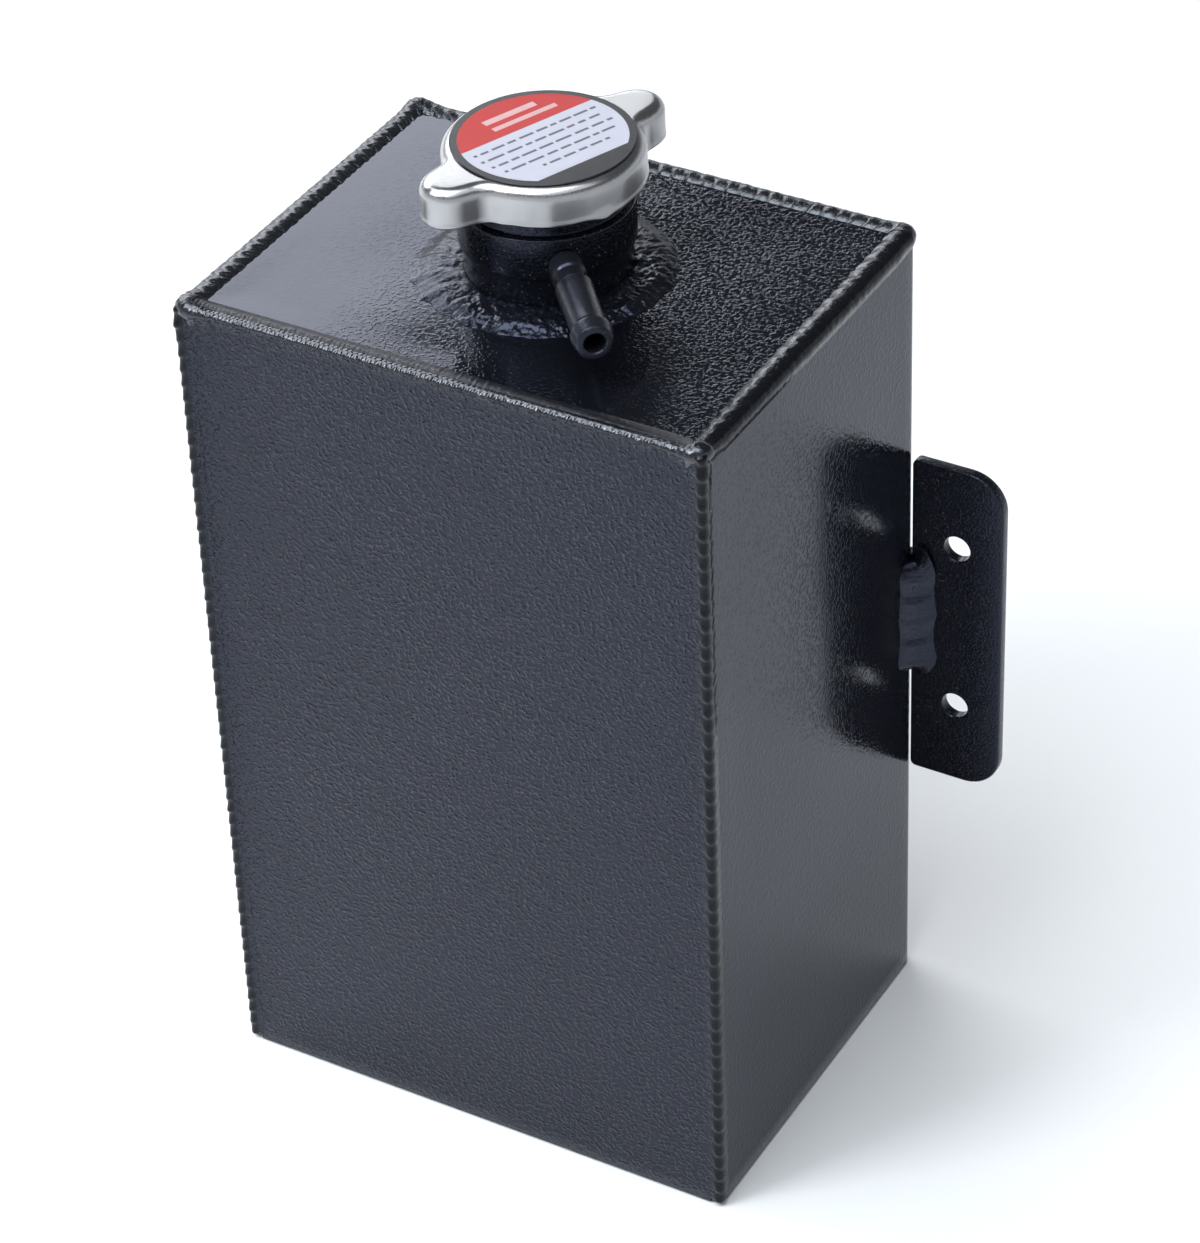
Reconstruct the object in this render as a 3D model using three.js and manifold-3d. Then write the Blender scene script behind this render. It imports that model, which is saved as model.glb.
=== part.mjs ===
// Welded aluminium header tank with a pressure cap, as a three.js scene graph.
// Millimetres, +Z up, origin at the centre of the tank's underside.
// +X is the tank's right side, -Y its front, +Y the back that goes against a wall.
import * as THREE from 'three';
import { mergeVertices } from 'three/addons/utils/BufferGeometryUtils.js';
import Module from 'manifold-3d';

const wasm = await Module();
wasm.setup();

// ---------------------------------------------------------------- dimensions
const TANK_W = 130;            // outside width, X
const TANK_D = 100;            // outside depth, Y
const TANK_H = 210;            // outside height, Z
const SHEET = 3;               // sheet thickness
const BEND_R = 4;              // outside radius of the two bent back corners
const GAP = 0.15;              // clearance between parts that are fused by a weld
const BEAD_OUT = 1.4;          // how far a weld bead stands proud of the sheet
const BEAD_REACH = 1.9;        // how far a bead runs on past its groove

const NECK_HOLE_R = 18.95;     // hole in the top sheet
const NECK_BASE_R = 18.7;      // neck where it passes through the sheet
const NECK_BODY_R = 19.6;      // main cylinder of the neck
const NECK_BODY_Z0 = 218.6;
const NECK_BODY_Z1 = 228.6;
const UNDERCUT_R = 18.2;       // groove that the cap's two tabs run in
const LIP_R = 20.2;            // cam lip
const LIP_Z0 = 234.9;
const RIM_Z = 238.2;           // top sealing rim of the neck
const MOUTH_R = 15.4;
const SEAT_Z = 218.4;          // lower seat of the pressure valve
const THROAT_R = 11.6;
const CAP_AXIS_DEG = 67.5;     // direction of the cap's two ears
const TAB_HALF_DEG = 13;
const NOTCH_HALF_DEG = 17;

const CAP_R = 22.2;            // outside radius of the cap's cover
const COVER_T = 1.0;
const COVER_TOP = 242.2;
const DIMPLE_R = 6.2;           // recess under the label that takes the rivet's head
const DIMPLE_Z = 241.1;
const SKIRT_Z = 233.2;
const LABEL_R = 20.2;
const LABEL_TOP = 242.6;

const OVERFLOW_DEG = -48.8;    // direction of the overflow spigot
const OVERFLOW_Z = 222.2;
const OVERFLOW_TIP = 51.6;     // spigot tip from the neck's axis

const BRACKET_OUT = 23;        // how far a bracket stands out from the side
const BRACKET_Z0 = 62.5;
const BRACKET_Z1 = 150.5;
const BRACKET_HOLE_R = 3.3;
const BRACKET_HOLE_X = 11.6;   // hole centre from the tank's side
const BRACKET_HOLE_Z = [84, 129];
const BRACKET_WELD_Z = [94, 124];

const OUTLET_Y = 20, OUTLET_Z = 28;   // 19 mm hose outlet on the left side
const OUTLET_LEN = 30;
const RETURN_Y = 20, RETURN_Z = 168;  // 8 mm bleed return on the left side
const RETURN_LEN = 24;

const FINE = 40, MID = 32, SMALL = 16;

// ---------------------------------------------------------------- materials
const mat = (color, roughness, metalness) => new THREE.MeshStandardMaterial({ color, roughness, metalness });
const powder = mat(0x1b1d22, 0.38, 0.0);
const beadMat = mat(0x16181c, 0.32, 0.0);
const stainless = mat(0xb9b8b8, 0.28, 1.0);
const springSteel = mat(0x8b8d90, 0.35, 1.0);
const brassMat = mat(0xb5904a, 0.35, 1.0);
const rubber = mat(0x17171a, 0.8, 0.0);
const labelMat = mat(0xe9e9ee, 0.4, 0.0);

// ---------------------------------------------------------------- geometry helpers
const rad = (d) => d * Math.PI / 180;
const P = (x, y) => new THREE.Vector2(x, y);

// merges shared vertices and drops collapsed triangles
function clean(geometry) {
  let g = geometry.clone();
  g.deleteAttribute('normal');
  g.deleteAttribute('uv');
  g = mergeVertices(g, 1e-4);
  const idx = g.index.array, keep = [];
  for (let i = 0; i < idx.length; i += 3) {
    const [a, b, c] = [idx[i], idx[i + 1], idx[i + 2]];
    if (a !== b && b !== c && a !== c) keep.push(a, b, c);
  }
  g.setIndex(keep);
  return g;
}

function signedVolume(pos, idx) {
  let v = 0;
  for (let i = 0; i < idx.length; i += 3) {
    const [a, b, c] = [idx[i] * 3, idx[i + 1] * 3, idx[i + 2] * 3];
    v += pos[a] * (pos[b + 1] * pos[c + 2] - pos[b + 2] * pos[c + 1])
       - pos[a + 1] * (pos[b] * pos[c + 2] - pos[b + 2] * pos[c])
       + pos[a + 2] * (pos[b] * pos[c + 1] - pos[b + 1] * pos[c]);
  }
  return v;
}

// a closed geometry as a manifold solid
function solid(geometry) {
  const g = clean(geometry);
  const pos = Float32Array.from(g.attributes.position.array);
  const idx = Uint32Array.from(g.index.array);
  if (signedVolume(pos, idx) < 0) {
    for (let i = 0; i < idx.length; i += 3) [idx[i + 1], idx[i + 2]] = [idx[i + 2], idx[i + 1]];
  }
  return new wasm.Manifold(new wasm.Mesh({ numProp: 3, vertProperties: pos, triVerts: idx }));
}

function geometryOf(manifold) {
  const m = manifold.getMesh();
  const g = new THREE.BufferGeometry();
  const n = m.numProp, count = m.vertProperties.length / n;
  const pos = new Float32Array(count * 3);
  for (let i = 0; i < count; i++) for (let k = 0; k < 3; k++) pos[i * 3 + k] = m.vertProperties[i * n + k];
  g.setAttribute('position', new THREE.BufferAttribute(pos, 3));
  g.setIndex(Array.from(m.triVerts));
  return g;
}

// turned part about +Z: profile is a closed list of [radius, z]
function turned(profile, segments = FINE) {
  const pts = profile.map(([r, z]) => P(Math.max(r, 0), z));
  const first = pts[0], last = pts[pts.length - 1];
  const onAxis = first.x === 0 && last.x === 0;
  if (!onAxis) pts.push(first.clone());
  const g = new THREE.LatheGeometry(pts, segments);
  g.rotateX(Math.PI / 2);
  return g;
}

// flat outline in XY raised along +Z
function raised(shape, height, z = 0, curveSegments = 8) {
  const g = new THREE.ExtrudeGeometry(shape, { depth: height, bevelEnabled: false, curveSegments });
  g.translate(0, 0, z);
  return g;
}

function polygon(points) {
  return new THREE.Shape(points.map(([x, y]) => P(x, y)));
}

const box = (x0, x1, y0, y1, z0, z1) => {
  const g = new THREE.BoxGeometry(x1 - x0, y1 - y0, z1 - z0);
  g.translate((x0 + x1) / 2, (y0 + y1) / 2, (z0 + z1) / 2);
  return g;
};

const cylinder = (r, z0, z1, segments = MID) => turned([[0, z0], [r, z0], [r, z1], [0, z1]], segments);

// a part turned about +Z, laid along +X and moved so that its z becomes a distance from a point
function layAlong(geometry, angleDeg, x = 0, y = 0, z = 0) {
  geometry.rotateY(Math.PI / 2);
  geometry.rotateZ(rad(angleDeg));
  geometry.translate(x, y, z);
  return geometry;
}

const tank = new THREE.Group();
const cap = new THREE.Group();
const object = new THREE.Group();
object.add(tank, cap);

function place(group, name, shape, material) {
  const geometry = shape instanceof THREE.BufferGeometry ? geometryOf(solid(shape)) : geometryOf(shape);
  geometry.computeVertexNormals();
  const mesh = new THREE.Mesh(geometry, material);
  mesh.name = name;
  group.add(mesh);
  return mesh;
}

// ---------------------------------------------------------------- tank shell
const hx = TANK_W / 2, hy = TANK_D / 2;

// the left side, back and right side are one sheet, bent at the two back corners
{
  const o = [], i = [];
  const steps = 6;
  o.push([-hx, -hy + SHEET]);
  for (let s = 0; s <= steps; s++) {
    const a = Math.PI - (s / steps) * Math.PI / 2;
    o.push([-hx + BEND_R + BEND_R * Math.cos(a), hy - BEND_R + BEND_R * Math.sin(a)]);
  }
  for (let s = 0; s <= steps; s++) {
    const a = Math.PI / 2 - (s / steps) * Math.PI / 2;
    o.push([hx - BEND_R + BEND_R * Math.cos(a), hy - BEND_R + BEND_R * Math.sin(a)]);
  }
  o.push([hx, -hy + SHEET]);
  const ri = BEND_R - SHEET;
  i.push([hx - SHEET, -hy + SHEET]);
  for (let s = 0; s <= 3; s++) {
    const a = (s / 3) * Math.PI / 2;
    i.push([hx - BEND_R + ri * Math.cos(a), hy - BEND_R + ri * Math.sin(a)]);
  }
  for (let s = 0; s <= 3; s++) {
    const a = Math.PI / 2 + (s / 3) * Math.PI / 2;
    i.push([-hx + BEND_R + ri * Math.cos(a), hy - BEND_R + ri * Math.sin(a)]);
  }
  i.push([-hx + SHEET, -hy + SHEET]);
  const wrap = solid(raised(polygon([...o, ...i]), TANK_H - SHEET));
  const outletHole = solid(layAlong(cylinder(9.3, -6, 6, MID), 180, -hx, OUTLET_Y, OUTLET_Z));
  const returnHole = solid(layAlong(cylinder(4.3, -6, 6, SMALL), 180, -hx, RETURN_Y, RETURN_Z));
  place(tank, 'wrap_shell', wrap.subtract(outletHole).subtract(returnHole), powder);
}

place(tank, 'front_panel', box(-hx + SHEET, hx - SHEET, -hy, -hy + SHEET - GAP, 0, TANK_H - SHEET), powder);

{
  const plate = solid(box(-hx + SHEET, hx - SHEET, -hy + SHEET, hy - SHEET, TANK_H - SHEET + GAP, TANK_H));
  place(tank, 'top_plate', plate.subtract(solid(cylinder(NECK_HOLE_R, TANK_H - 8, TANK_H + 4, FINE))), powder);
}

// the bottom sheet sits between the walls with its lower edge chamfered for the weld
const bx = hx - SHEET - GAP, by = hy - SHEET - GAP, CH = 2;
{
  const frustum = (x0, y0, z0, x1, y1, z1) => {
    const g = new THREE.BoxGeometry(2, 2, 1);
    const p = g.attributes.position;
    for (let k = 0; k < p.count; k++) {
      const top = p.getZ(k) > 0;
      p.setXYZ(k, Math.sign(p.getX(k)) * (top ? x1 : x0), Math.sign(p.getY(k)) * (top ? y1 : y0), top ? z1 : z0);
    }
    return g;
  };
  const r = 1.2; // small corner chamfer that clears the bend's inside radius
  const clip = polygon([[-bx, -by], [bx, -by], [bx, by - r], [bx - r, by], [-bx + r, by], [-bx, by - r]]);
  const plate = solid(frustum(bx - CH, by - CH, 0, bx, by, CH)).add(solid(box(-bx, bx, -by, by, CH, SHEET)));
  place(tank, 'bottom_plate', plate.intersect(solid(raised(clip, SHEET + 2, -1))), powder);

  // weld run flush in the chamfered groove
  const g = 0.12;
  const outer = solid(raised(polygon([[-bx, -by], [bx, -by], [bx, by - r], [bx - r, by], [-bx + r, by], [-bx, by - r]]), CH - 0.3, 0.02));
  const inner = solid(frustum(bx - CH - 0.2 + g, by - CH - 0.2 + g, -0.2, bx + 0.2 + g, by + 0.2 + g, CH + 0.2));
  place(tank, 'weld_bottom', outer.subtract(inner), beadMat);
}

// ---------------------------------------------------------------- edge weld beads
// section of an outside-corner bead: u runs out past one sheet, v past the other,
// with the groove's inner corner at (-SHEET, -SHEET)
const BEAD_SECTION = [
  [-SHEET + GAP, -SHEET + GAP * 2],
  [-GAP * 0, -SHEET + GAP * 2],
  [GAP, -SHEET + GAP * 2],
  [GAP, -SHEET - BEAD_REACH + 0.4],
  [0.75, -SHEET - BEAD_REACH + 0.7],
  [1.3, -3.6], [BEAD_OUT, -2.2], [1.25, -0.8], [0.75, 0.35],
  [0.35, 0.75], [-0.8, 1.25], [-2.2, BEAD_OUT], [-3.6, 1.3],
  [-SHEET - BEAD_REACH + 0.7, 0.75],
  [-SHEET - BEAD_REACH + 0.4, GAP],
  [-SHEET + GAP, GAP],
];

// vertical beads up the two front edges; their tops are cut where the top beads pass over
function frontBead(side) {
  const pts = BEAD_SECTION.map(([u, v]) => [side * (hx + u), -hy - v]);
  return raised(polygon(pts), TANK_H - 4.2, 0.4);
}
place(tank, 'weld_front_left', frontBead(-1), beadMat);
place(tank, 'weld_front_right', frontBead(1), beadMat);

// top beads: front and back run the full width, left and right run between them
function topBeadX(sideY) {           // along X
  const pts = BEAD_SECTION.map(([u, v]) => [u, v]);
  const len = TANK_W + 2 * 1.2;
  const g = raised(polygon(pts), len, -len / 2);
  // section (u, v, s) -> world: u outward along Y, v up, s along X
  const p = g.attributes.position;
  for (let k = 0; k < p.count; k++) {
    const u = p.getX(k), v = p.getY(k), s = p.getZ(k);
    p.setXYZ(k, s, sideY * (hy + u), TANK_H + v);
  }
  return g;
}
function topBeadY(sideX) {           // along Y
  const len = TANK_D - 2 * (SHEET + BEAD_REACH) - 0.8;
  const g = raised(polygon(BEAD_SECTION), len, -len / 2);
  const p = g.attributes.position;
  for (let k = 0; k < p.count; k++) {
    const u = p.getX(k), v = p.getY(k), s = p.getZ(k);
    p.setXYZ(k, sideX * (hx + u), s, TANK_H + v);
  }
  return g;
}
{
  // at the bead's two ends the groove is closed by the side sheets, so the ends are
  // trimmed clear of them and of the front panel's vertical beads
  const corner = (sx, sy) => solid(box(
    Math.min(sx * (hx - SHEET - 0.1), sx * (hx + 4)), Math.max(sx * (hx - SHEET - 0.1), sx * (hx + 4)),
    Math.min(sy * (hy - SHEET - 0.3), sy * (hy + 0.1)), Math.max(sy * (hy - SHEET - 0.3), sy * (hy + 0.1)),
    TANK_H - 9, TANK_H - SHEET + 0.1));
  const lower = (sx, sy) => solid(box(
    Math.min(sx * (hx - 8), sx * (hx + 6)), Math.max(sx * (hx - 8), sx * (hx + 6)),
    Math.min(sy * (hy - 8), sy * (hy + 6)), Math.max(sy * (hy - 8), sy * (hy + 6)),
    TANK_H - 12, TANK_H - SHEET - 0.5));
  // the back bead is dressed flush, so that the tank can lie against a flat wall
  const dressed = solid(box(-hx - 6, hx + 6, hy, hy + 6, TANK_H - 9, TANK_H + 6));
  let front = solid(topBeadX(-1)), back = solid(topBeadX(1)).subtract(dressed);
  for (const sx of [-1, 1]) {
    front = front.subtract(corner(sx, -1)).subtract(lower(sx, -1));
    back = back.subtract(corner(sx, 1));
  }
  place(tank, 'weld_top_front', front, beadMat);
  place(tank, 'weld_top_back', back, beadMat);
  place(tank, 'weld_top_left', topBeadY(-1), beadMat);
  place(tank, 'weld_top_right', topBeadY(1), beadMat);
}

// ---------------------------------------------------------------- filler neck
{
  const profile = [
    [THROAT_R, TANK_H - SHEET + 0.3], [NECK_BASE_R, TANK_H - SHEET + 0.3],
    [NECK_BASE_R, NECK_BODY_Z0 - 0.4], [NECK_BODY_R - 0.4, NECK_BODY_Z0], [NECK_BODY_R, NECK_BODY_Z0 + 0.4],
    [NECK_BODY_R, NECK_BODY_Z1 - 0.4], [NECK_BODY_R - 0.4, NECK_BODY_Z1],
    [UNDERCUT_R, NECK_BODY_Z1 + 0.2], [UNDERCUT_R, LIP_Z0],
    [LIP_R, LIP_Z0], [LIP_R, RIM_Z - 1.1], [LIP_R - 1.1, RIM_Z],
    [MOUTH_R + 0.5, RIM_Z], [MOUTH_R, RIM_Z - 0.5], [MOUTH_R, SEAT_Z], [THROAT_R, SEAT_Z],
  ];
  let neck = solid(turned(profile, FINE));
  // two notches that let the cap's tabs past the cam lip
  const notch = (deg) => {
    const shape = new THREE.Shape();
    shape.moveTo(UNDERCUT_R, 0);
    const n = 6, outer = [], inner = [];
    for (let k = 0; k <= n; k++) {
      const a = rad(deg - NOTCH_HALF_DEG + 2 * NOTCH_HALF_DEG * k / n);
      outer.push([25 * Math.cos(a), 25 * Math.sin(a)]);
      inner.unshift([UNDERCUT_R * Math.cos(a), UNDERCUT_R * Math.sin(a)]);
    }
    return solid(raised(polygon([...outer, ...inner]), 6, LIP_Z0 - 1));
  };
  // each cam: the lip's underside starts high beside its notch and comes down to full depth
  const cam = (deg) => {
    const g = new THREE.BoxGeometry(12, 24, 2);
    g.translate(0, 0, -1);
    g.rotateX(rad(3.2));
    g.translate(UNDERCUT_R + 6, 0, LIP_Z0 + 0.35);
    g.rotateZ(rad(deg));
    return solid(g);
  };
  for (const deg of [CAP_AXIS_DEG - 90, CAP_AXIS_DEG + 90]) {
    neck = neck.subtract(notch(deg));
    neck = neck.subtract(cam(deg - NOTCH_HALF_DEG - 24));
    // stop lug at the locked end of the cam
    const stop = new THREE.BoxGeometry(1.9, 2.2, 2.6);
    stop.translate(UNDERCUT_R + 0.9, 0, LIP_Z0 - 1.0);
    stop.rotateZ(rad(deg - 90 - TAB_HALF_DEG - 6));
    neck = neck.add(solid(stop));
  }
  // cross hole that feeds the overflow spigot
  const cross = cylinder(3.0, MOUTH_R - 4, NECK_BODY_R + 4, SMALL);
  neck = neck.subtract(solid(layAlong(cross, OVERFLOW_DEG, 0, 0, OVERFLOW_Z)));
  place(tank, 'filler_neck', neck, powder);
}

// fillet weld round the foot of the neck
place(tank, 'neck_weld', turned([
  [NECK_HOLE_R, TANK_H + GAP], [28.9, TANK_H + GAP], [28.0, TANK_H + 1.0], [25.4, TANK_H + 2.2],
  [22.2, TANK_H + 2.9], [19.8, TANK_H + 2.9], [NECK_BASE_R + GAP + 0.05, TANK_H + 2.5],
], FINE), beadMat);

// hose spigot: profile of [radius, distance from the root], turned and laid on its axis
function overflowProfile() {
  return [
    [2.3, MOUTH_R + 0.6], [2.8, MOUTH_R + 0.6], [2.8, NECK_BODY_R + 0.3],
    [3.75, NECK_BODY_R + 0.35], [3.85, NECK_BODY_R + 0.8], [3.85, 24.9], [3.45, 25.5], [3.5, 28.0],
    [4.15, 29.9], [4.1, 30.3], [3.85, 45.6], [3.85, 46.2], [4.6, 47.8], [4.55, 48.3],
    [4.05, OVERFLOW_TIP - 0.4], [3.6, OVERFLOW_TIP], [2.5, OVERFLOW_TIP], [2.3, OVERFLOW_TIP - 0.3],
  ];
}
place(tank, 'overflow_spigot', layAlong(turned(overflowProfile(), SMALL), OVERFLOW_DEG, 0, 0, OVERFLOW_Z), powder);

// ---------------------------------------------------------------- wall brackets
function bracket(side) {
  const w = BRACKET_OUT, z0 = BRACKET_Z0, z1 = BRACKET_Z1, r = 9, ri = 1.5;
  const s = new THREE.Shape();
  s.moveTo(0, z0 + ri);
  s.absarc(ri, z0 + ri, ri, Math.PI, 1.5 * Math.PI, false);
  s.lineTo(w - r, z0);
  s.absarc(w - r, z0 + r, r, -Math.PI / 2, 0, false);
  s.lineTo(w, z1 - r);
  s.absarc(w - r, z1 - r, r, 0, Math.PI / 2, false);
  s.lineTo(ri, z1);
  s.absarc(ri, z1 - ri, ri, Math.PI / 2, Math.PI, false);
  for (const hz of BRACKET_HOLE_Z) {
    const h = new THREE.Path();
    h.absarc(BRACKET_HOLE_X, hz, BRACKET_HOLE_R, 0, 2 * Math.PI, true);
    s.holes.push(h);
  }
  const g = new THREE.ExtrudeGeometry(s, { depth: SHEET, bevelEnabled: false, curveSegments: 7 });
  // (out, up, depth) -> world, back face flush with the back of the tank
  const p = g.attributes.position;
  for (let k = 0; k < p.count; k++) {
    const out = p.getX(k), up = p.getY(k), d = p.getZ(k);
    p.setXYZ(k, side * (hx + GAP + out), hy - d, up);
  }
  return g;
}

// fillet bead in the corner between the side sheet and the bracket's front face
function bracketFrontWeld(side) {
  const a = 6.4, b = 7.2, c = 0.12;
  const pts = [[c, c], [b, c], [b - 0.5, 1.3], [b * 0.62, 2.7], [3.0, 4.0], [1.5, a - 0.5], [c, a]];
  const [z0, z1] = BRACKET_WELD_Z;
  const g = raised(polygon(pts), z1 - z0, z0);
  const p = g.attributes.position;
  for (let k = 0; k < p.count; k++) {
    const u = p.getX(k), v = p.getY(k);
    // rounded ends: the bead shrinks over its last few millimetres
    p.setXYZ(k, side * (hx + u), hy - SHEET - v, p.getZ(k));
  }
  return g;
}

// bead in the groove behind the bend's radius, dressed flush with the back
function bracketBackWeld(side) {
  const e = 0.25;
  const pts = [];
  for (let k = 0; k <= 5; k++) {
    const a = rad(8 + k * 12.06);
    pts.push([(BEND_R + e) * Math.cos(a) - BEND_R, (BEND_R + e) * Math.sin(a) - BEND_R]);
  }
  // the groove lies between the bend and the bracket's inner edge
  const outline = [...pts.filter(([x]) => x <= GAP - 0.1), [GAP - 0.1, -0.05]];
  const lower = outline[0];
  const shape = polygon([[GAP - 0.1, Math.min(lower[1], -2.2)], ...outline]);
  const g = raised(shape, BRACKET_WELD_Z[1] - BRACKET_WELD_Z[0], BRACKET_WELD_Z[0]);
  const p = g.attributes.position;
  for (let k = 0; k < p.count; k++) p.setXYZ(k, side * (hx + p.getX(k)), hy + p.getY(k), p.getZ(k));
  return g;
}

for (const [name, side] of [['right', 1], ['left', -1]]) {
  place(tank, `bracket_${name}`, bracket(side), powder);
  place(tank, `bracket_${name}_weld_front`, bracketFrontWeld(side), beadMat);
  place(tank, `bracket_${name}_weld_back`, bracketBackWeld(side), beadMat);
}

// ---------------------------------------------------------------- hose spigots on the left side
{
  const o = hx; // distance of the wall's outer face from the tank's centre plane
  const outlet = [
    [7.5, o - SHEET - 1.5], [9.0, o - SHEET - 1.5], [9.0, o + 12], [9.1, o + 13.5], [9.9, o + 15],
    [9.1, o + 19], [9.1, o + 22.5], [9.9, o + 24], [9.0, o + OUTLET_LEN - 1], [8.6, o + OUTLET_LEN], [7.5, o + OUTLET_LEN],
  ];
  place(tank, 'outlet_spigot', layAlong(turned(outlet, MID), 180, 0, OUTLET_Y, OUTLET_Z), powder);
  const outletWeld = [[9.15, o + GAP], [13.0, o + GAP], [12.5, o + 1.3], [11.2, o + 2.5], [9.9, o + 3.4], [9.15, o + 3.3]];
  place(tank, 'outlet_weld', layAlong(turned(outletWeld, MID), 180, 0, OUTLET_Y, OUTLET_Z), beadMat);

  const ret = [
    [2.5, o - SHEET - 1.5], [4.0, o - SHEET - 1.5], [4.0, o + 9.0], [4.05, o + 10.2], [4.6, o + 11.3],
    [4.0, o + 14.5], [4.0, o + 17.5], [4.6, o + 18.8], [3.9, o + RETURN_LEN - 0.6], [3.5, o + RETURN_LEN], [2.5, o + RETURN_LEN],
  ];
  place(tank, 'return_spigot', layAlong(turned(ret, SMALL), 180, 0, RETURN_Y, RETURN_Z), powder);
  const retWeld = [[4.15, o + GAP], [7.4, o + GAP], [7.0, o + 1.1], [5.9, o + 2.2], [4.9, o + 2.8], [4.15, o + 2.7]];
  place(tank, 'return_weld', layAlong(turned(retWeld, SMALL), 180, 0, RETURN_Y, RETURN_Z), beadMat);
}

// ---------------------------------------------------------------- pressure cap
// outline of the cover: a disc with two ears, grown outward by d
function coverOutline(d) {
  const half = [
    [31.6, 0], [31.35, 1.6], [30.55, 3.4], [29.1, 5.0], [27.2, 6.1], [24.9, 6.75],
    [22.9, 7.2], [21.4, 7.95], [20.4, 9.05], [19.65, 10.4],
  ];
  const ear = [];
  for (const [u, v] of half) ear.push([u, v]);
  const quarter = [...ear];
  const a0 = Math.atan2(10.4, 19.65);
  const n = 9;
  for (let k = 1; k <= n; k++) {
    const a = a0 + (Math.PI / 2 - a0) * k / n;
    quarter.push([CAP_R * Math.cos(a), CAP_R * Math.sin(a)]);
  }
  const pts = [];
  for (const [x, y] of quarter) pts.push([x, y]);
  for (const [x, y] of quarter.slice(0, -1).reverse()) pts.push([-x, y]);
  for (const [x, y] of quarter.slice(1)) pts.push([-x, -y]);
  for (const [x, y] of quarter.slice(1, -1).reverse()) pts.push([x, -y]);
  if (d === 0) return pts;
  // offset along the averaged normals
  const m = pts.length, out = [];
  for (let k = 0; k < m; k++) {
    const [ax, ay] = pts[(k + m - 1) % m], [bx2, by2] = pts[(k + 1) % m];
    const tx = bx2 - ax, ty = by2 - ay, l = Math.hypot(tx, ty);
    out.push([pts[k][0] + d * ty / l, pts[k][1] - d * tx / l]);
  }
  return out;
}

{
  // the cover, drawn with its ears along +X and turned at the end
  const bevel = 1.3;
  const shell = (d, top, depth, b) => {
    const g = new THREE.ExtrudeGeometry(polygon(coverOutline(d - b)), {
      depth, bevelEnabled: true, bevelThickness: b, bevelSize: b, bevelSegments: 2, curveSegments: 4,
    });
    g.translate(0, 0, top - b - depth);
    return solid(g);
  };
  const below = solid(box(-40, 40, -40, 40, SKIRT_Z - 30, SKIRT_Z));
  let cover = shell(0, COVER_TOP, 12, bevel).subtract(below);
  cover = cover.subtract(shell(-COVER_T, COVER_TOP - COVER_T, 16, 0.6));
  // two tabs folded inward at the foot of the skirt, a quarter turn from the ears
  for (const deg of [90, -90]) {
    const tab = [];
    const n = 5, inner = [];
    for (let k = 0; k <= n; k++) {
      const a = rad(deg - TAB_HALF_DEG + 2 * TAB_HALF_DEG * k / n);
      tab.push([(CAP_R - 0.5) * Math.cos(a), (CAP_R - 0.5) * Math.sin(a)]);
      inner.unshift([18.75 * Math.cos(a), 18.75 * Math.sin(a)]);
    }
    cover = cover.add(solid(raised(polygon([...tab, ...inner]), 1.1, SKIRT_Z)));
  }
  cover = cover.add(solid(cylinder(DIMPLE_R + 1, DIMPLE_Z - COVER_T, COVER_TOP - 0.5, MID)));
  cover = cover.subtract(solid(cylinder(DIMPLE_R, DIMPLE_Z, COVER_TOP + 1, MID)));
  cover = cover.subtract(solid(cylinder(2.4, COVER_TOP - 4, COVER_TOP + 4, SMALL)));
  place(cap, 'cap_cover', cover.rotate([0, 0, CAP_AXIS_DEG]), stainless);
}

// printed label disc
place(cap, 'cap_label', turned([
  [0, COVER_TOP + 0.05], [LABEL_R, COVER_TOP + 0.05], [LABEL_R, COVER_TOP + 0.25], [LABEL_R - 0.15, LABEL_TOP], [0, LABEL_TOP],
], FINE), labelMat);

place(cap, 'cap_rivet', turned([
  [0, 237.2], [3.6, 237.2], [3.9, 237.6], [3.9, 238.1], [2.0, 238.1], [2.0, DIMPLE_Z + 0.1], [4.4, DIMPLE_Z + 0.1], [4.4, 241.7], [3.7, 242.0], [0, 242.0],
], SMALL), stainless);

place(cap, 'cap_spring_disc', turned([
  [2.4, 239.6], [15.5, 239.6], [19.4, 239.3], [19.4, 239.6], [15.5, 239.9], [2.4, 239.9],
], MID), springSteel);

place(cap, 'top_gasket', turned([
  [13.6, 238.35], [19.0, 238.35], [19.0, 239.15], [15.5, 239.42], [13.6, 239.42],
], MID), rubber);

// bell that houses the pressure spring and holds the valve plate by its lower lip
place(cap, 'cap_bell', turned([
  [2.4, 238.25], [9.2, 238.25], [12.4, 232.0], [12.4, 225.8], [11.6, 225.8], [11.6, 225.0],
  [13.3, 225.0], [13.3, 232.2], [12.2, 234.6], [10.4, 238.2], [10.0, 239.3], [2.4, 239.3],
], MID), stainless);

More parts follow.
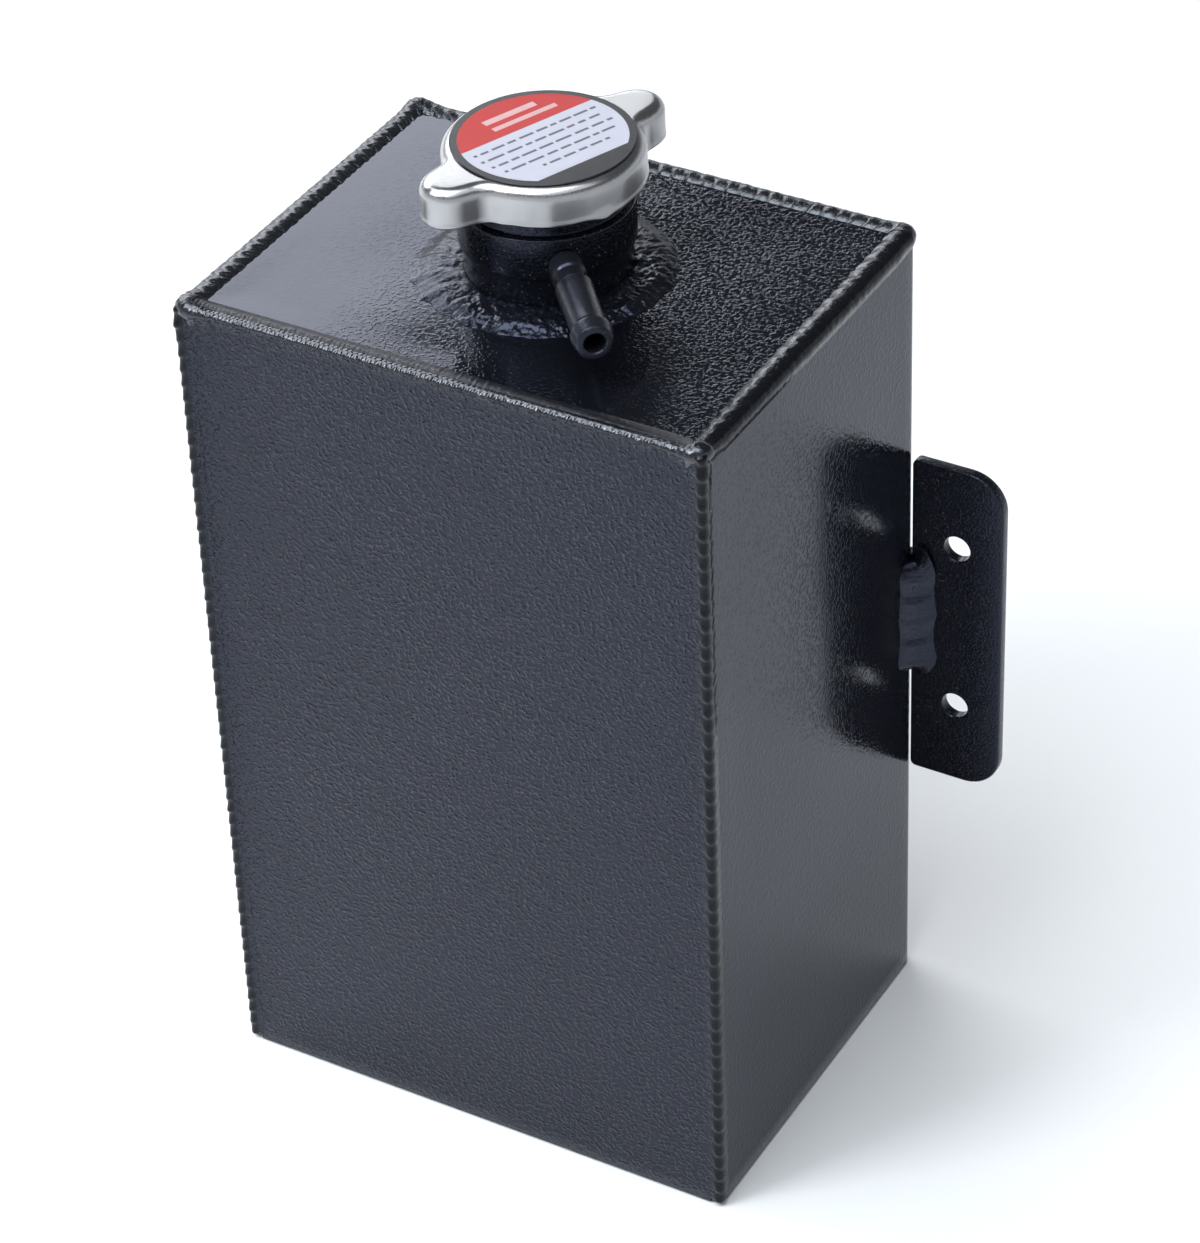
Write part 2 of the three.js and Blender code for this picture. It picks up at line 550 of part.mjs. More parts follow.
// helical spring with closed flat end coils
class Helix extends THREE.Curve {
  constructor(radius, z0, z1, turns, wire) {
    super();
    Object.assign(this, { radius, z0, z1, turns, wire });
  }
  getPoint(t, target = new THREE.Vector3()) {
    const flat = 0.75 / this.turns;    // share of the path in each end coil
    const smooth = (x) => Math.min(1, Math.max(0, x));
    const live = smooth((t - flat) / (1 - 2 * flat));
    const a = t * this.turns * 2 * Math.PI;
    const rise = this.z1 - this.z0 - this.wire - 2 * 1.06 * this.wire * 0.75;
    const end = 1.06 * this.wire * 0.75;
    const z = this.z0 + this.wire / 2 + end * smooth(t / flat) + rise * live + end * smooth((t - 1 + flat) / flat);
    return target.set(this.radius * Math.cos(a), this.radius * Math.sin(a), z);
  }
}
function spring(radius, wire, z0, z1, turns, perTurn, sides) {
  const section = new THREE.Shape();
  for (let k = 0; k < sides; k++) {
    const a = 2 * Math.PI * k / sides;
    const x = wire / 2 * Math.cos(a), y = wire / 2 * Math.sin(a);
    if (k === 0) section.moveTo(x, y); else section.lineTo(x, y);
  }
  section.closePath();
  return new THREE.ExtrudeGeometry(section, {
    steps: Math.round(turns * perTurn), bevelEnabled: false, extrudePath: new Helix(radius, z0, z1, turns, wire),
  });
}
place(cap, 'pressure_spring', spring(8.0, 1.6, 221.0, 237.9, 5.0, 14, 6), springSteel);

place(cap, 'valve_plate', turned([
  [2.5, 219.75], [13.2, 219.75], [13.2, 220.6], [11.0, 220.6], [11.0, 226.9], [12.0, 226.9], [12.0, 227.6],
  [10.2, 227.6], [10.2, 220.75], [2.5, 220.75],
], MID), brassMat);

place(cap, 'pressure_seal', turned([[4.6, 218.5], [13.4, 218.5], [13.4, 219.6], [4.6, 219.6]], MID), rubber);

place(cap, 'vacuum_valve', turned([
  [0, 217.1], [6.4, 217.1], [6.7, 217.5], [6.7, 218.35], [1.4, 218.35], [1.4, 225.3], [3.7, 225.3], [3.7, 226.1], [0, 226.1],
], SMALL), brassMat);

place(cap, 'vacuum_spring', spring(3.0, 0.6, 220.9, 225.15, 4.0, 10, 5), springSteel);

export default object;
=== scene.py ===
"""Looks of the welded header tank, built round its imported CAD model. Metres in Blender, millimetres in the tables below."""
import bpy
import bmesh
import math
import random

import numpy as np
from mathutils import Matrix, Vector, noise

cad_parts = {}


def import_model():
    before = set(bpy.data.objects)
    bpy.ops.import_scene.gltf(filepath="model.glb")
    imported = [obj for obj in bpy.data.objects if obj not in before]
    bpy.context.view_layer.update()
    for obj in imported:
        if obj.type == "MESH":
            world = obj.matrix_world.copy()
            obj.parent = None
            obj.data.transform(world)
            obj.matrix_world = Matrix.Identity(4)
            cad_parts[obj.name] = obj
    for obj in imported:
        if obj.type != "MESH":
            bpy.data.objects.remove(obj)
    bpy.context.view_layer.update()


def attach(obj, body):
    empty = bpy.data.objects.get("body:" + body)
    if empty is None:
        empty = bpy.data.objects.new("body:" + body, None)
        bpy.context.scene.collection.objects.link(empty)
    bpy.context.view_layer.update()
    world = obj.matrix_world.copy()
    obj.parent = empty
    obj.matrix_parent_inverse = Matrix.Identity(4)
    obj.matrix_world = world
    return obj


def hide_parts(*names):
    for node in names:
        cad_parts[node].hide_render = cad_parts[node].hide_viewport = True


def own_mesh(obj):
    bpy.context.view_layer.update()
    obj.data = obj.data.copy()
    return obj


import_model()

MM = 0.001
rad = math.radians
rng = random.Random(11)

# ------------------------------------------------------------------ sizes, as in the CAD model
W, D, H, SHEET, BEND = 130.0, 100.0, 210.0, 3.0, 4.0
HX, HY = W / 2, D / 2
EARS = 67.5                       # direction of the cap's ears, degrees
SPIGOT = -48.8                    # direction of the overflow spigot
SPIGOT_Z = 222.2


def n3(x, y, z, s=1.0, o=0.0):
    """smooth noise, about -0.6..0.6, at a point in millimetres with features about s millimetres across"""
    return noise.noise(Vector((x / s + o, y / s - o * 0.7, z / s + o * 1.3)))


def smooth(a, b, x):
    t = min(1.0, max(0.0, (x - a) / (b - a)))
    return t * t * (3 - 2 * t)


# ================================================================== materials
def tree(name):
    m = bpy.data.materials.new(name)
    m.use_nodes = True
    nt = m.node_tree
    nt.nodes.clear()
    out = nt.nodes.new("ShaderNodeOutputMaterial")
    p = nt.nodes.new("ShaderNodeBsdfPrincipled")
    nt.links.new(p.outputs["BSDF"], out.inputs["Surface"])
    return m, nt, p


def node(nt, kind, **props):
    n = nt.nodes.new(kind)
    for k, v in props.items():
        if k in n.inputs:
            n.inputs[k].default_value = v
        else:
            setattr(n, k, v)
    return n


def coords(nt, scale=(1, 1, 1)):
    tc = nt.nodes.new("ShaderNodeTexCoord")
    mp = nt.nodes.new("ShaderNodeMapping")
    mp.inputs["Scale"].default_value = scale
    nt.links.new(tc.outputs["Object"], mp.inputs["Vector"])
    return mp.outputs["Vector"]


def noise_tex(nt, vec, scale, detail=2.0, rough=0.5, distortion=0.0):
    n = nt.nodes.new("ShaderNodeTexNoise")
    n.inputs["Scale"].default_value = scale
    n.inputs["Detail"].default_value = detail
    n.inputs["Roughness"].default_value = rough
    n.inputs["Distortion"].default_value = distortion
    nt.links.new(vec, n.inputs["Vector"])
    return n.outputs["Fac"]


def ramp(nt, fac, stops):
    r = nt.nodes.new("ShaderNodeValToRGB")
    e = r.color_ramp.elements
    e[0].position, e[0].color = stops[0][0], (*stops[0][1], 1)
    e[1].position, e[1].color = stops[-1][0], (*stops[-1][1], 1)
    for pos, col in stops[1:-1]:
        k = e.new(pos)
        k.color = (*col, 1)
    nt.links.new(fac, r.inputs["Fac"])
    return r.outputs["Color"]


def maprange(nt, fac, lo, hi, a=0.0, b=1.0):
    r = nt.nodes.new("ShaderNodeMapRange")
    r.inputs["From Min"].default_value = a
    r.inputs["From Max"].default_value = b
    r.inputs["To Min"].default_value = lo
    r.inputs["To Max"].default_value = hi
    nt.links.new(fac, r.inputs["Value"])
    return r.outputs["Result"]


def math_node(nt, op, a, b):
    m = nt.nodes.new("ShaderNodeMath")
    m.operation = op
    for i, v in enumerate((a, b)):
        if isinstance(v, (int, float)):
            m.inputs[i].default_value = v
        else:
            nt.links.new(v, m.inputs[i])
    return m.outputs[0]


def bump(nt, p, height, distance, strength=1.0, normal=None):
    b = nt.nodes.new("ShaderNodeBump")
    b.inputs["Strength"].default_value = strength
    b.inputs["Distance"].default_value = distance
    nt.links.new(height, b.inputs["Height"])
    if normal is not None:
        nt.links.new(normal, b.inputs["Normal"])
    nt.links.new(b.outputs["Normal"], p.inputs["Normal"])
    return b.outputs["Normal"]


def powder_coat(name, peel=1.0, grain=1020.0, rough=(0.1, 0.15), tint=(0.003, 0.0033, 0.0048), speck=0.0, calm=None, ior=1.455, painted_blue_light_tint=(0.63, 0.70, 1.0)):
    """black textured powder coat: a fine worm-like orange peel under a satin gloss"""
    m, nt, p = tree(name)
    v = coords(nt)
    peel_h = noise_tex(nt, v, grain, 1.6, 0.55, 0.35)
    coarse = noise_tex(nt, v, grain * 0.31, 1.0, 0.5)
    wide = noise_tex(nt, v, 38.0, 2.0, 0.5)
    h = math_node(nt, "ADD", math_node(nt, "MULTIPLY", ramp(nt, peel_h, [(0.49, (0, 0, 0)), (0.54, (0.25, 0.25, 0.25)), (0.6, (0.75, 0.75, 0.75)), (0.66, (1, 1, 1))]), 1.0),
                  math_node(nt, "MULTIPLY", coarse, 0.05))
    if calm:
        # the coat has flowed out smoother towards one end of this piece
        sep = nt.nodes.new("ShaderNodeSeparateXYZ")
        nt.links.new(v, sep.inputs[0])
        axis, lo, hi, least = calm
        h = math_node(nt, "MULTIPLY", h, maprange(nt, sep.outputs[axis], least, 1.0, lo, hi))
    bump(nt, p, h, 0.000095 * peel, 1.0)
    t = tint
    base = ramp(nt, wide, [(0.3, t), (0.7, (t[0] * 1.35, t[1] * 1.35, t[2] * 1.4))])
    if speck:
        dots = noise_tex(nt, v, 1500.0, 0.0)
        mask = ramp(nt, dots, [(0.75, (0, 0, 0)), (0.79, (1, 1, 1))])
        mix = nt.nodes.new("ShaderNodeMix")
        mix.data_type = "RGBA"
        nt.links.new(math_node(nt, "MULTIPLY", mask, speck), mix.inputs["Factor"])
        nt.links.new(base, mix.inputs["A"])
        mix.inputs["B"].default_value = (0.16, 0.15, 0.14, 1)
        base = mix.outputs["Result"]
    nt.links.new(base, p.inputs["Base Color"])
    fine = noise_tex(nt, v, 420.0, 2.0, 0.6)
    nt.links.new(maprange(nt, fine, rough[0], rough[1], 0.3, 0.7), p.inputs["Roughness"])
    p.inputs["IOR"].default_value = ior
    # painted light: the specular tint colours the coat's reflections blue, a painted blue cast that stands in for
    # bluish light
    p.inputs["Specular Tint"].default_value = (*painted_blue_light_tint, 1)
    return m


def metal(name, color, rough, streak=None, streak_scale=(1, 1, 1), bumpiness=0.000006, spots=0.0, skirt=None):
    m, nt, p = tree(name)
    p.inputs["Metallic"].default_value = 1.0
    v = coords(nt)
    vs = coords(nt, streak_scale)
    s = noise_tex(nt, vs, streak or 900.0, 3.0, 0.6)
    wide = noise_tex(nt, v, 90.0, 2.0, 0.5)
    c = color
    base = ramp(nt, wide, [(0.3, tuple(x * 0.9 for x in c)), (0.7, tuple(min(1, x * 1.04) for x in c))])
    if spots:
        dots = noise_tex(nt, v, 700.0, 2.0, 0.6)
        mask = ramp(nt, dots, [(0.62, (0, 0, 0)), (0.7, (1, 1, 1))])
        mix = nt.nodes.new("ShaderNodeMix")
        mix.data_type = "RGBA"
        nt.links.new(math_node(nt, "MULTIPLY", mask, spots), mix.inputs["Factor"])
        nt.links.new(base, mix.inputs["A"])
        mix.inputs["B"].default_value = (c[0] * 0.55, c[1] * 0.52, c[2] * 0.5, 1)
        base = mix.outputs["Result"]
    nt.links.new(base, p.inputs["Base Color"])
    r = maprange(nt, s, rough[0], rough[1], 0.3, 0.7)
    if skirt:
        sep = nt.nodes.new("ShaderNodeSeparateXYZ")
        nt.links.new(v, sep.inputs[0])
        r = math_node(nt, "ADD", r, maprange(nt, sep.outputs["Z"], skirt, 0.0, 0.2400, 0.2416))
    nt.links.new(r, p.inputs["Roughness"])
    bump(nt, p, s, bumpiness)
    return m


def print_ink(name, color, rough=(0.3, 0.4), mottled=0.06, coat=0.0, spec=0.5):
    m, nt, p = tree(name)
    v = coords(nt)
    n = noise_tex(nt, v, 260.0, 3.0, 0.6)
    c = color
    nt.links.new(ramp(nt, n, [(0.3, tuple(x * (1 - mottled) for x in c)), (0.7, tuple(min(1, x * (1 + mottled)) for x in c))]), p.inputs["Base Color"])
    nt.links.new(maprange(nt, n, rough[0], rough[1], 0.3, 0.7), p.inputs["Roughness"])
    p.inputs["Coat Weight"].default_value = coat
    p.inputs["Specular IOR Level"].default_value = spec
    p.inputs["Coat Roughness"].default_value = 0.12
    bump(nt, p, noise_tex(nt, v, 2200.0, 2.0), 0.000004)
    return m


def rubber_mat(name):
    m, nt, p = tree(name)
    v = coords(nt)
    n = noise_tex(nt, v, 500.0, 4.0, 0.6)
    nt.links.new(ramp(nt, n, [(0.3, (0.018, 0.018, 0.019)), (0.7, (0.032, 0.031, 0.031))]), p.inputs["Base Color"])
    nt.links.new(maprange(nt, n, 0.6, 0.8, 0.3, 0.7), p.inputs["Roughness"])
    bump(nt, p, n, 0.00004)
    return m


# the powder coats below carry a blue specular tint: painted blue light on their reflections
POWDER = powder_coat("powder_coat")
POWDER_TOP = powder_coat("powder_coat_top", peel=0.35, rough=(0.06, 0.1), calm=("X", -0.034, 0.004, 0.1))
POWDER_SHELL = powder_coat("powder_coat_shell", peel=0.28, rough=(0.11, 0.16), tint=(0.003, 0.0034, 0.0054), ior=1.38, painted_blue_light_tint=(0.5, 0.6, 1.0))
POWDER_FRONT = powder_coat("powder_coat_front", peel=4.4, calm=("Z", 0.02, 0.17, 0.4), ior=1.435)
POWDER_FINE = powder_coat("powder_coat_fine", peel=0.4, grain=1900.0, rough=(0.12, 0.18), speck=0.3)
POWDER_BEAD = powder_coat("powder_coat_weld", peel=0.22, grain=1700.0, rough=(0.19, 0.27), ior=1.72, painted_blue_light_tint=(0.9, 0.93, 1.0))
# painted shade: a darker, less reflective copy of the weld-bead coat, for bead faces that look black from shade and
# dark reflections
POWDER_SHADED_BEAD = powder_coat("powder_coat_shaded_bead", peel=0.25, grain=1700.0, rough=(0.13, 0.2), tint=(0.003, 0.0033, 0.0045), ior=1.32, painted_blue_light_tint=(0.85, 0.9, 1.0))
POWDER_RIDGE = powder_coat("powder_coat_ridge", peel=0.35, grain=1400.0, rough=(0.34, 0.44), ior=1.6, painted_blue_light_tint=(0.9, 0.93, 1.0))
POWDER_NECK_WELD = powder_coat("powder_coat_neck_weld", peel=0.5, grain=950.0, rough=(0.17, 0.26))
STAINLESS = metal("stainless_satin", (0.445, 0.445, 0.452), (0.21, 0.27), 1500.0, (1, 1, 0.12), skirt=0.09)
STAINLESS_IN = metal("stainless_inner", (0.62, 0.62, 0.61), (0.24, 0.36), 900.0)
SPRING = metal("spring_steel", (0.42, 0.42, 0.43), (0.28, 0.42), 1200.0, spots=0.25)
RIVET = metal("rivet_steel", (0.6, 0.6, 0.6), (0.25, 0.38), 1100.0)
BRASS = metal("valve_brass", (0.66, 0.47, 0.22), (0.22, 0.36), 900.0, spots=0.3)
RUBBER = rubber_mat("seal_rubber")
INK_BLACK = print_ink("print_black", (0.01, 0.01, 0.012), (0.2, 0.28), 0.2, spec=0.24)
INK_RED = print_ink("print_red", (0.335, 0.027, 0.025), (0.5, 0.6), 0.05, spec=0.3)
INK_WHITE = print_ink("print_white", (0.36, 0.36, 0.41), (0.5, 0.6), 0.03, spec=0.3)
INK_GREY = print_ink("print_grey", (0.09, 0.09, 0.115), (0.5, 0.6), 0.1, spec=0.3)
INK_BAR = print_ink("print_bar", (0.44, 0.27, 0.27), (0.5, 0.6), 0.05, spec=0.3)


# ================================================================== mesh helpers
def make(name, verts, faces, mats, body, nodes=(), angle=38, face_mats=None, merge=True, keep_data=False):
    me = bpy.data.meshes.new(name)
    me.from_pydata([(x * MM, y * MM, z * MM) for x, y, z in verts], [], faces)
    if face_mats is not None:
        me.polygons.foreach_set("material_index", np.array(face_mats, np.int32))
    bm = bmesh.new()
    bm.from_mesh(me)
    if merge:
        bmesh.ops.remove_doubles(bm, verts=bm.verts, dist=2e-6)
    bmesh.ops.recalc_face_normals(bm, faces=bm.faces)
    bm.to_mesh(me)
    bm.free()
    ob = bpy.data.objects.new(name, me)
    bpy.context.scene.collection.objects.link(ob)
    for m in mats if isinstance(mats, (list, tuple)) else [mats]:
        me.materials.append(m)
    if body:
        dress(ob, body, nodes, angle)
    return ob


def dress(ob, body, nodes=(), angle=38):
    me = ob.data
    me.polygons.foreach_set("use_smooth", np.ones(len(me.polygons), bool))
    me.set_sharp_from_angle(angle=rad(angle))
    me.update()
    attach(ob, body)
    if nodes:
        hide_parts(*nodes)
    return ob


def boolean(ob, cutter, op="DIFFERENCE"):
    m = ob.modifiers.new("cut", "BOOLEAN")
    m.object, m.operation, m.solver = cutter, op, "EXACT"
    bpy.context.view_layer.update()
    dg = bpy.context.evaluated_depsgraph_get()
    me = bpy.data.meshes.new_from_object(ob.evaluated_get(dg))
    ob.modifiers.clear()
    mats = [x for x in ob.data.materials]
    ob.data = me
    if not me.materials:
        for x in mats:
            me.materials.append(x)
    bpy.data.objects.remove(cutter)
    return ob


def rounded(points, seg=4):
    """closed profile of (r, z) or (r, z, fillet radius) with its corners rounded"""
    pts = [(p[0], p[1], p[2] if len(p) > 2 else 0.0) for p in points]
    out, n = [], len(pts)
    for i, (x, y, f) in enumerate(pts):
        p = Vector((x, y))
        if f <= 0:
            out.append((x, y))
            continue
        a, b = Vector(pts[i - 1][:2]) - p, Vector(pts[(i + 1) % n][:2]) - p
        la, lb = a.length, b.length
        a.normalize(), b.normalize()
        ang = a.angle(b)
        if ang > rad(176):
            out.append((x, y))
            continue
        t = min(f / math.tan(ang / 2), la * 0.48, lb * 0.48)
        r = t * math.tan(ang / 2)
        c = p + (a + b).normalized() * (r / math.sin(ang / 2))
        v0, v1 = p + a * t - c, p + b * t - c
        w = v0.angle(v1)
        for k in range(seg + 1):
            u = k / seg
            v = (v0 * math.sin((1 - u) * w) + v1 * math.sin(u * w)) / math.sin(w)
            q = c + v
            out.append((q.x, q.y))
    return out


def lathe(profile, seg=128):
    verts, faces, rings = [], [], []
    for r, z in profile:
        if r < 1e-6:
            rings.append([len(verts)])
            verts.append((0.0, 0.0, z))
        else:
            base = len(verts)
            for k in range(seg):
                a = 2 * math.pi * k / seg
                verts.append((r * math.cos(a), r * math.sin(a), z))
            rings.append(list(range(base, base + seg)))
    n = len(rings)
    for i in range(n):
        a, b = rings[i], rings[(i + 1) % n]
        if len(a) == 1 and len(b) == 1:
            continue
        for k in range(seg):
            k2 = (k + 1) % seg
            if len(a) == 1:
                faces.append((a[0], b[k2], b[k]))
            elif len(b) == 1:
                faces.append((a[k], a[k2], b[0]))
            else:
                faces.append((a[k], a[k2], b[k2], b[k]))
    return verts, faces


def lay(verts, deg, x=0.0, y=0.0, z=0.0):
    c, s = math.cos(rad(deg)), math.sin(rad(deg))
    return [(x + c * d - s * a, y + s * d + c * a, z + b) for a, b, d in verts]


def loops_mesh(loops, close_profile=True):
    """quads between consecutive closed loops of equal length"""
    n, verts, faces = len(loops[0]), [], []
    for lp in loops:
        verts += list(lp)
    m = len(loops)
    for i in range(m if close_profile else m - 1):
        a, b = i * n, ((i + 1) % m) * n
        for k in range(n):
            k2 = (k + 1) % n
            faces.append((a + k, a + k2, b + k2, b + k))
    return verts, faces


def cyl(name, r, z0, z1, seg=64, deg=None, at=(0, 0, 0)):
    v, f = lathe([(0, z0), (r, z0), (r, z1), (0, z1)], seg)
    if deg is not None:
        v = lay(v, deg, *at)
    else:
        v = [(x + at[0], y + at[1], z + at[2]) for x, y, z in v]
    return make(name, v, f, [POWDER], None)


# ================================================================== tank sheets
def wrap_shell():
    path = []                                     # (x, y, nx, ny) of the outer face
    n_side, n_back, n_bend = 26, 34, 12
    for k in range(n_side + 1):
        path.append((-HX, -HY + SHEET + (D - SHEET - BEND) * k / n_side, -1.0, 0.0))
    for k in range(1, n_bend + 1):
        a = math.pi - math.pi / 2 * k / n_bend
        path.append((-HX + BEND + BEND * math.cos(a), HY - BEND + BEND * math.sin(a), math.cos(a), math.sin(a)))
    for k in range(1, n_back + 1):
        path.append((-HX + BEND + (W - 2 * BEND) * k / n_back, HY, 0.0, 1.0))
    for k in range(1, n_bend + 1):
        a = math.pi / 2 - math.pi / 2 * k / n_bend
        path.append((HX - BEND + BEND * math.cos(a), HY - BEND + BEND * math.sin(a), math.cos(a), math.sin(a)))
    for k in range(1, n_side + 1):
        path.append((HX, HY - BEND - (D - SHEET - BEND) * k / n_side, 1.0, 0.0))
    rows = [(0.0, 0.5), (0.12, 0.2), (0.5, 0.0)] + [(0.5 + 206.5 * k / 48, 0.0) for k in range(1, 49)]
    verts, faces = [], []
    m = len(path)

    def off(x, y, z, nx, ny):
        flat = smooth(0, 14, z) * smooth(0, 12, 207 - z)
        edge = smooth(0, 14, min(abs(abs(x) - HX), 99) + min(abs(abs(y) - HY), 99)) if abs(nx) < 0.99 and abs(ny) < 0.99 else 1.0
        side = smooth(2, 16, HY - y) * smooth(3, 14, y + HY) if abs(nx) > 0.99 else smooth(3, 16, HX - abs(x))
        return flat * edge * side * (0.16 * n3(x, y, z, 42, 3.1) - 0.06)
    for z, inset in rows:
        for x, y, nx, ny in path:
            o = off(x, y, z, nx, ny) - inset
            verts.append((x + nx * o, y + ny * o, z))
    base = len(verts)
    for z, _ in rows:
        for x, y, nx, ny in path:
            verts.append((x - nx * SHEET, y - ny * SHEET, z))
    nr = len(rows)
    for j in range(nr - 1):
        for i in range(m - 1):
            a = j * m + i
            faces.append((a, a + 1, a + m + 1, a + m))
            b = base + a
            faces.append((b + 1, b, b + m, b + m + 1))
    for i in range(m - 1):
        faces.append((i + 1, i, base + i, base + i + 1))
        t = (nr - 1) * m + i
        faces.append((t, t + 1, base + t + 1, base + t))
    for j in range(nr - 1):
        a, b = j * m, j * m + m - 1
        faces.append((a + m, base + a + m, base + a, a))
        faces.append((b, base + b, base + b + m, b + m))
    ob = make("wrap_shell_sheet", verts, faces, POWDER_SHELL, None)
    boolean(ob, cyl("c1", 9.3, HX - 8, HX + 4, 64, 180, (0, 20, 28)))
    boolean(ob, cyl("c2", 4.3, HX - 8, HX + 4, 48, 180, (0, 20, 168)))
    return dress(ob, "tank", ["wrap_shell"], 30)


def slab(name, xs, ys, zs, disp, mats, node_name):
    """a sheet standing in the XZ plane: its front face at y = ys[0] is subdivided and waved by disp(x, z)"""
    (x0, x1), (y0, y1), (z0, z1) = xs, ys, zs
    nx, nz = 34, 52
    verts, faces = [], []
    rows = [(z0, 0.5), (z0 + 0.12, 0.2), (z0 + 0.5, 0.0)] + [(z0 + 0.5 + (z1 - z0 - 0.5) * k / nz, 0.0) for k in range(1, nz + 1)]
    m = nx + 1
    for z, inset in rows:
        for i in range(m):
            x = x0 + (x1 - x0) * i / nx
            verts.append((x, y0 + inset + disp(x, z), z))
    base = len(verts)
    for z, _ in rows:
        for i in range(m):
            verts.append((x0 + (x1 - x0) * i / nx, y1, z))
    nr = len(rows)
    for j in range(nr - 1):
        for i in range(nx):
            a = j * m + i
            faces.append((a, a + 1, a + m + 1, a + m))
            faces.append((base + a + 1, base + a, base + a + m, base + a + m + 1))
    for i in range(nx):
        faces.append((i + 1, i, base + i, base + i + 1))
        t = (nr - 1) * m + i
        faces.append((t, t + 1, base + t + 1, base + t))
    for j in range(nr - 1):
        a, b = j * m, j * m + m - 1
        faces.append((a + m, base + a + m, base + a, a))
        faces.append((b, base + b, base + b + m, b + m))
    return make(name, verts, faces, mats, "tank", [node_name], 30)


def front_panel():
    def disp(x, z):
        f = smooth(0, 14, z) * smooth(0, 12, 207 - z) * smooth(0, 12, 62 - abs(x))
        return f * (0.22 * n3(x, 0, z, 46, 8.2) + 0.08 + 0.05 * n3(x, 5, z, 17, 1.2))
    return slab("front_panel_sheet", (-HX + SHEET, HX - SHEET), (-HY, -HY + SHEET - 0.15), (0.0, H - SHEET), disp, POWDER_FRONT, "front_panel")


def top_plate():
    """flat sheet with the neck's hole: rings that pass from the hole to the rectangular edge"""
    hx, hy, r0 = HX - SHEET, HY - SHEET, 18.95
    n_ang, n_ring = 176, 20
    angs = []
    per = []
    for k in range(n_ang):                     # walk the rectangle evenly
        t = k / n_ang * (4 * hx + 4 * hy)
        if t < 2 * hx:
            x, y = -hx + t, -hy
        elif t < 2 * hx + 2 * hy:
            x, y = hx, -hy + (t - 2 * hx)
        elif t < 4 * hx + 2 * hy:
            x, y = hx - (t - 2 * hx - 2 * hy), hy
        else:
            x, y = -hx, hy - (t - 4 * hx - 2 * hy)
        per.append((x, y))
        angs.append(math.atan2(y, x))
    for cx, cy in ((-hx, -hy), (hx, -hy), (hx, hy), (-hx, hy)):   # keep true corners
        k = min(range(n_ang), key=lambda i: (per[i][0] - cx) ** 2 + (per[i][1] - cy) ** 2)
        per[k] = (cx, cy)
        angs[k] = math.atan2(cy, cx)
    loops = []
    for j in range(n_ring + 1):
        u = j / n_ring
        lp = []
        for (x, y), a in zip(per, angs):
            px, py = r0 * math.cos(a) * (1 - u) + x * u, r0 * math.sin(a) * (1 - u) + y * u
            f = smooth(0, 10, min(hx - abs(px), hy - abs(py))) * smooth(0, 0.2, u)
            lp.append((px, py, H + f * (0.16 * n3(px, py, 0, 30, 5.5) - 0.07)))
        loops.append(lp)
    under = [[(x, y, H - SHEET + 0.15) for x, y, _ in loops[j]] for j in (n_ring, 0)]
    v, f = loops_mesh(loops + under)
    return make("top_plate_sheet", v, f, POWDER_TOP, "tank", ["top_plate"], 30)


